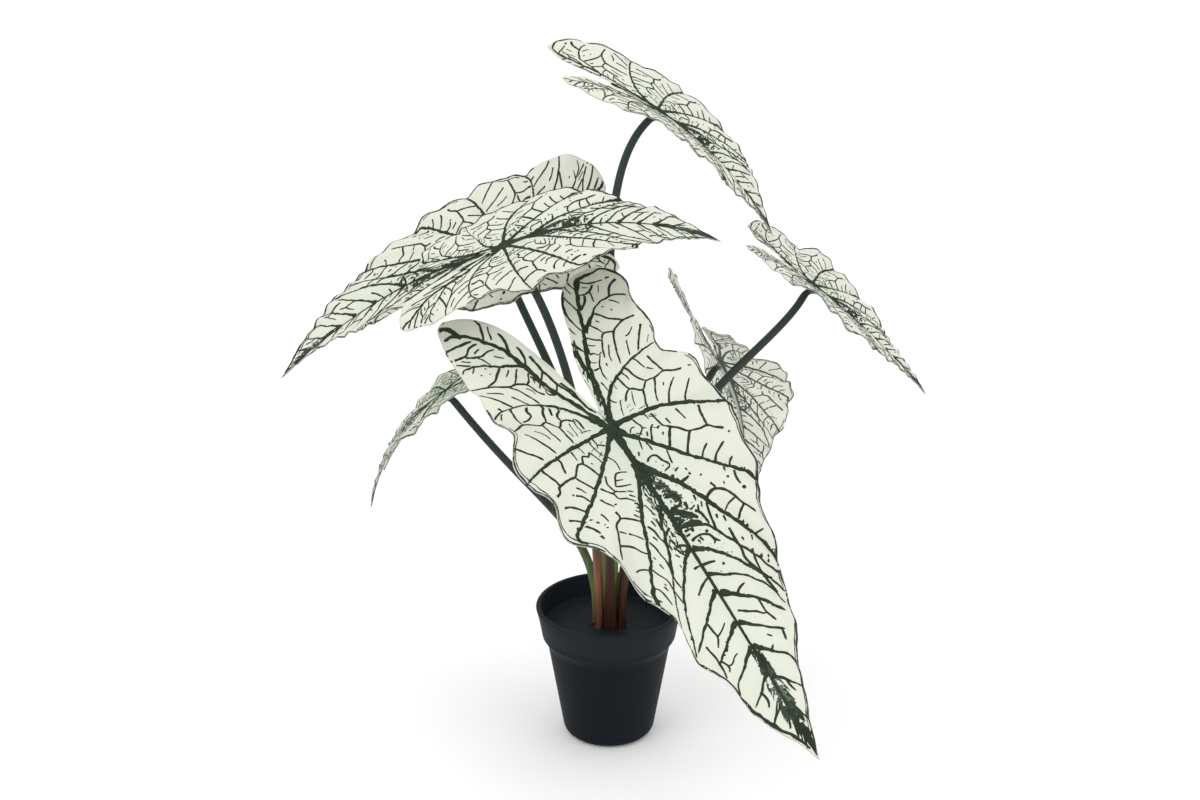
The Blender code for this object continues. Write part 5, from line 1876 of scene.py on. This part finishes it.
@dataclass
class Studio:
    """The pale floor, the soft lights and the camera."""

    lens: float = 60.0
    sensor: float = 36.0
    place: tuple = (-0.008, -1.595, 0.938)
    tilt: float = 21.2
    glow: float = 1.04
    floor_radius: float = 9.0
    # Each light: its name, its place, the point that it faces, its side and its power.
    lights: tuple = (
        ("key", (-1.5, -1.7, 2.3), (0, 0, 0.3), 1.6, 14),
        ("fill", (1.9, -1.3, 1.5), (0, 0, 0.3), 1.8, 5),
        ("top", (0.1, 0.6, 2.6), (0, 0, 0.2), 2.2, 5),
    )

    def build(self) -> None:
        """Builds the floor, the lights, the surroundings and the camera."""
        self.build_floor()
        bpy.context.scene.view_settings.view_transform = "Standard"
        for light in self.lights:
            self.light(*light)
        world = bpy.data.worlds.new("studio")
        world.use_nodes = True
        background = world.node_tree.nodes["Background"]
        background.inputs["Color"].default_value = (1.0, 1.0, 1.0, 1.0)
        background.inputs["Strength"].default_value = self.glow
        bpy.context.scene.world = world
        camera = bpy.data.cameras.new("photo_view")
        camera.lens = self.lens
        camera.sensor_width = self.sensor
        holder = put("photo_view", camera)
        holder.location = self.place
        holder.rotation_euler = (radians(90 - self.tilt), 0, 0)
        bpy.context.scene.camera = holder

    def build_floor(self) -> None:
        """Builds a round floor wide enough for every view."""
        made = bmesh.new()
        bmesh.ops.create_circle(made, cap_ends=True, segments=96, radius=self.floor_radius)
        mesh = taken(made, "studio_floor")
        mesh.materials.append(FLOOR.material())
        floor = put("studio_floor", mesh)

    @staticmethod
    def light(name: str, place: tuple, aim: tuple, size: float, power: float) -> None:
        """Adds a square soft light.

        Args:
            name: its name.
            place: where it hangs.
            aim: the point that it faces.
            size: the length of its side.
            power: its power in watts.
        """
        lamp = bpy.data.lights.new(name, "AREA")
        lamp.shape = "SQUARE"
        lamp.size = size
        lamp.energy = power
        holder = put(name, lamp)
        holder.location = place
        way = Vector(aim) - Vector(place)
        holder.rotation_euler = way.to_track_quat("-Z", "Y").to_euler()


def reaches(tree: kdtree.KDTree, flat: np.ndarray) -> np.ndarray:
    """Returns how far each vertex of a flat mesh lies from the nearest point of the tree."""
    return np.array([tree.find((x, -y, 0))[2] for x, y, _ in flat])


def embossed(reach: np.ndarray) -> np.ndarray:
    """Returns how far the blade is embossed upwards at these distances from its main veins."""
    return EMBOSS_HEIGHT * (1 - np.exp(-((reach / EMBOSS_REACH) ** 2)))


def prepare_flat() -> tuple:
    """Makes the flat sheet and the flat prints, with what bends and tints them.

    Returns:
        The sheet's mesh, and a list of the large blade's print and the bolder one of the small blades.
    """
    sheet = flat_sheet()
    flat = places(sheet)
    tree = search_tree(np.vstack([densely(path, 24 * len(path)) for path in VeinPlan.paths()]))
    reach = reaches(tree, flat)
    middle = np.exp(-((np.hypot(flat[:, 0] - 0.05, flat[:, 1]) / 0.13) ** 2))
    spine = np.exp(-((flat[:, 1] / 0.045) ** 2)) * np.clip((0.62 - flat[:, 0]) / 0.2, 0, 1) * (flat[:, 0] > 0)
    store(sheet, "tint", np.clip(0.24 * np.exp(-reach / 0.016) + 0.38 * middle + 0.30 * spine, 0, 1))
    store(sheet, "relief", embossed(reach))
    prints = []
    for seed, bold in PRINTS:
        drawing = FlatPrint(seed, bold)
        drawing.compose()
        marks = drawing.mesh()
        flat = places(marks)
        side, station, share = locate(np.stack([flat[:, 0], -flat[:, 1]], 1))
        relief = embossed(reaches(tree, flat))
        for name, values in (("station", station), ("share", share), ("side", side), ("relief", relief)):
            store(marks, name, values)
        LOG.info("print: %d strokes, %d dots, %d faces", len(drawing.strokes), len(drawing.dots),
                 len(marks.polygons))
        prints.append(marks)
    return sheet, prints


def clear_startup() -> None:
    """Removes the startup scene's objects."""
    for thing in list(bpy.data.objects):
        bpy.data.objects.remove(thing, do_unlink=True)


def main() -> None:
    """Builds the plant over its frame and the studio round it."""
    logging.basicConfig(level=logging.INFO, format="%(message)s")
    clear_startup()
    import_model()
    Studio().build()
    Pot().build()
    Filling().build()
    sheet, prints = prepare_flat()
    for leaf in LEAVES:
        LeafAssembly(leaf).build(sheet, prints[0 if leaf.size > LARGE_BLADE else 1])
    for mesh in (sheet, *prints):
        bpy.data.meshes.remove(mesh)


if __name__ == "__main__":
    main()
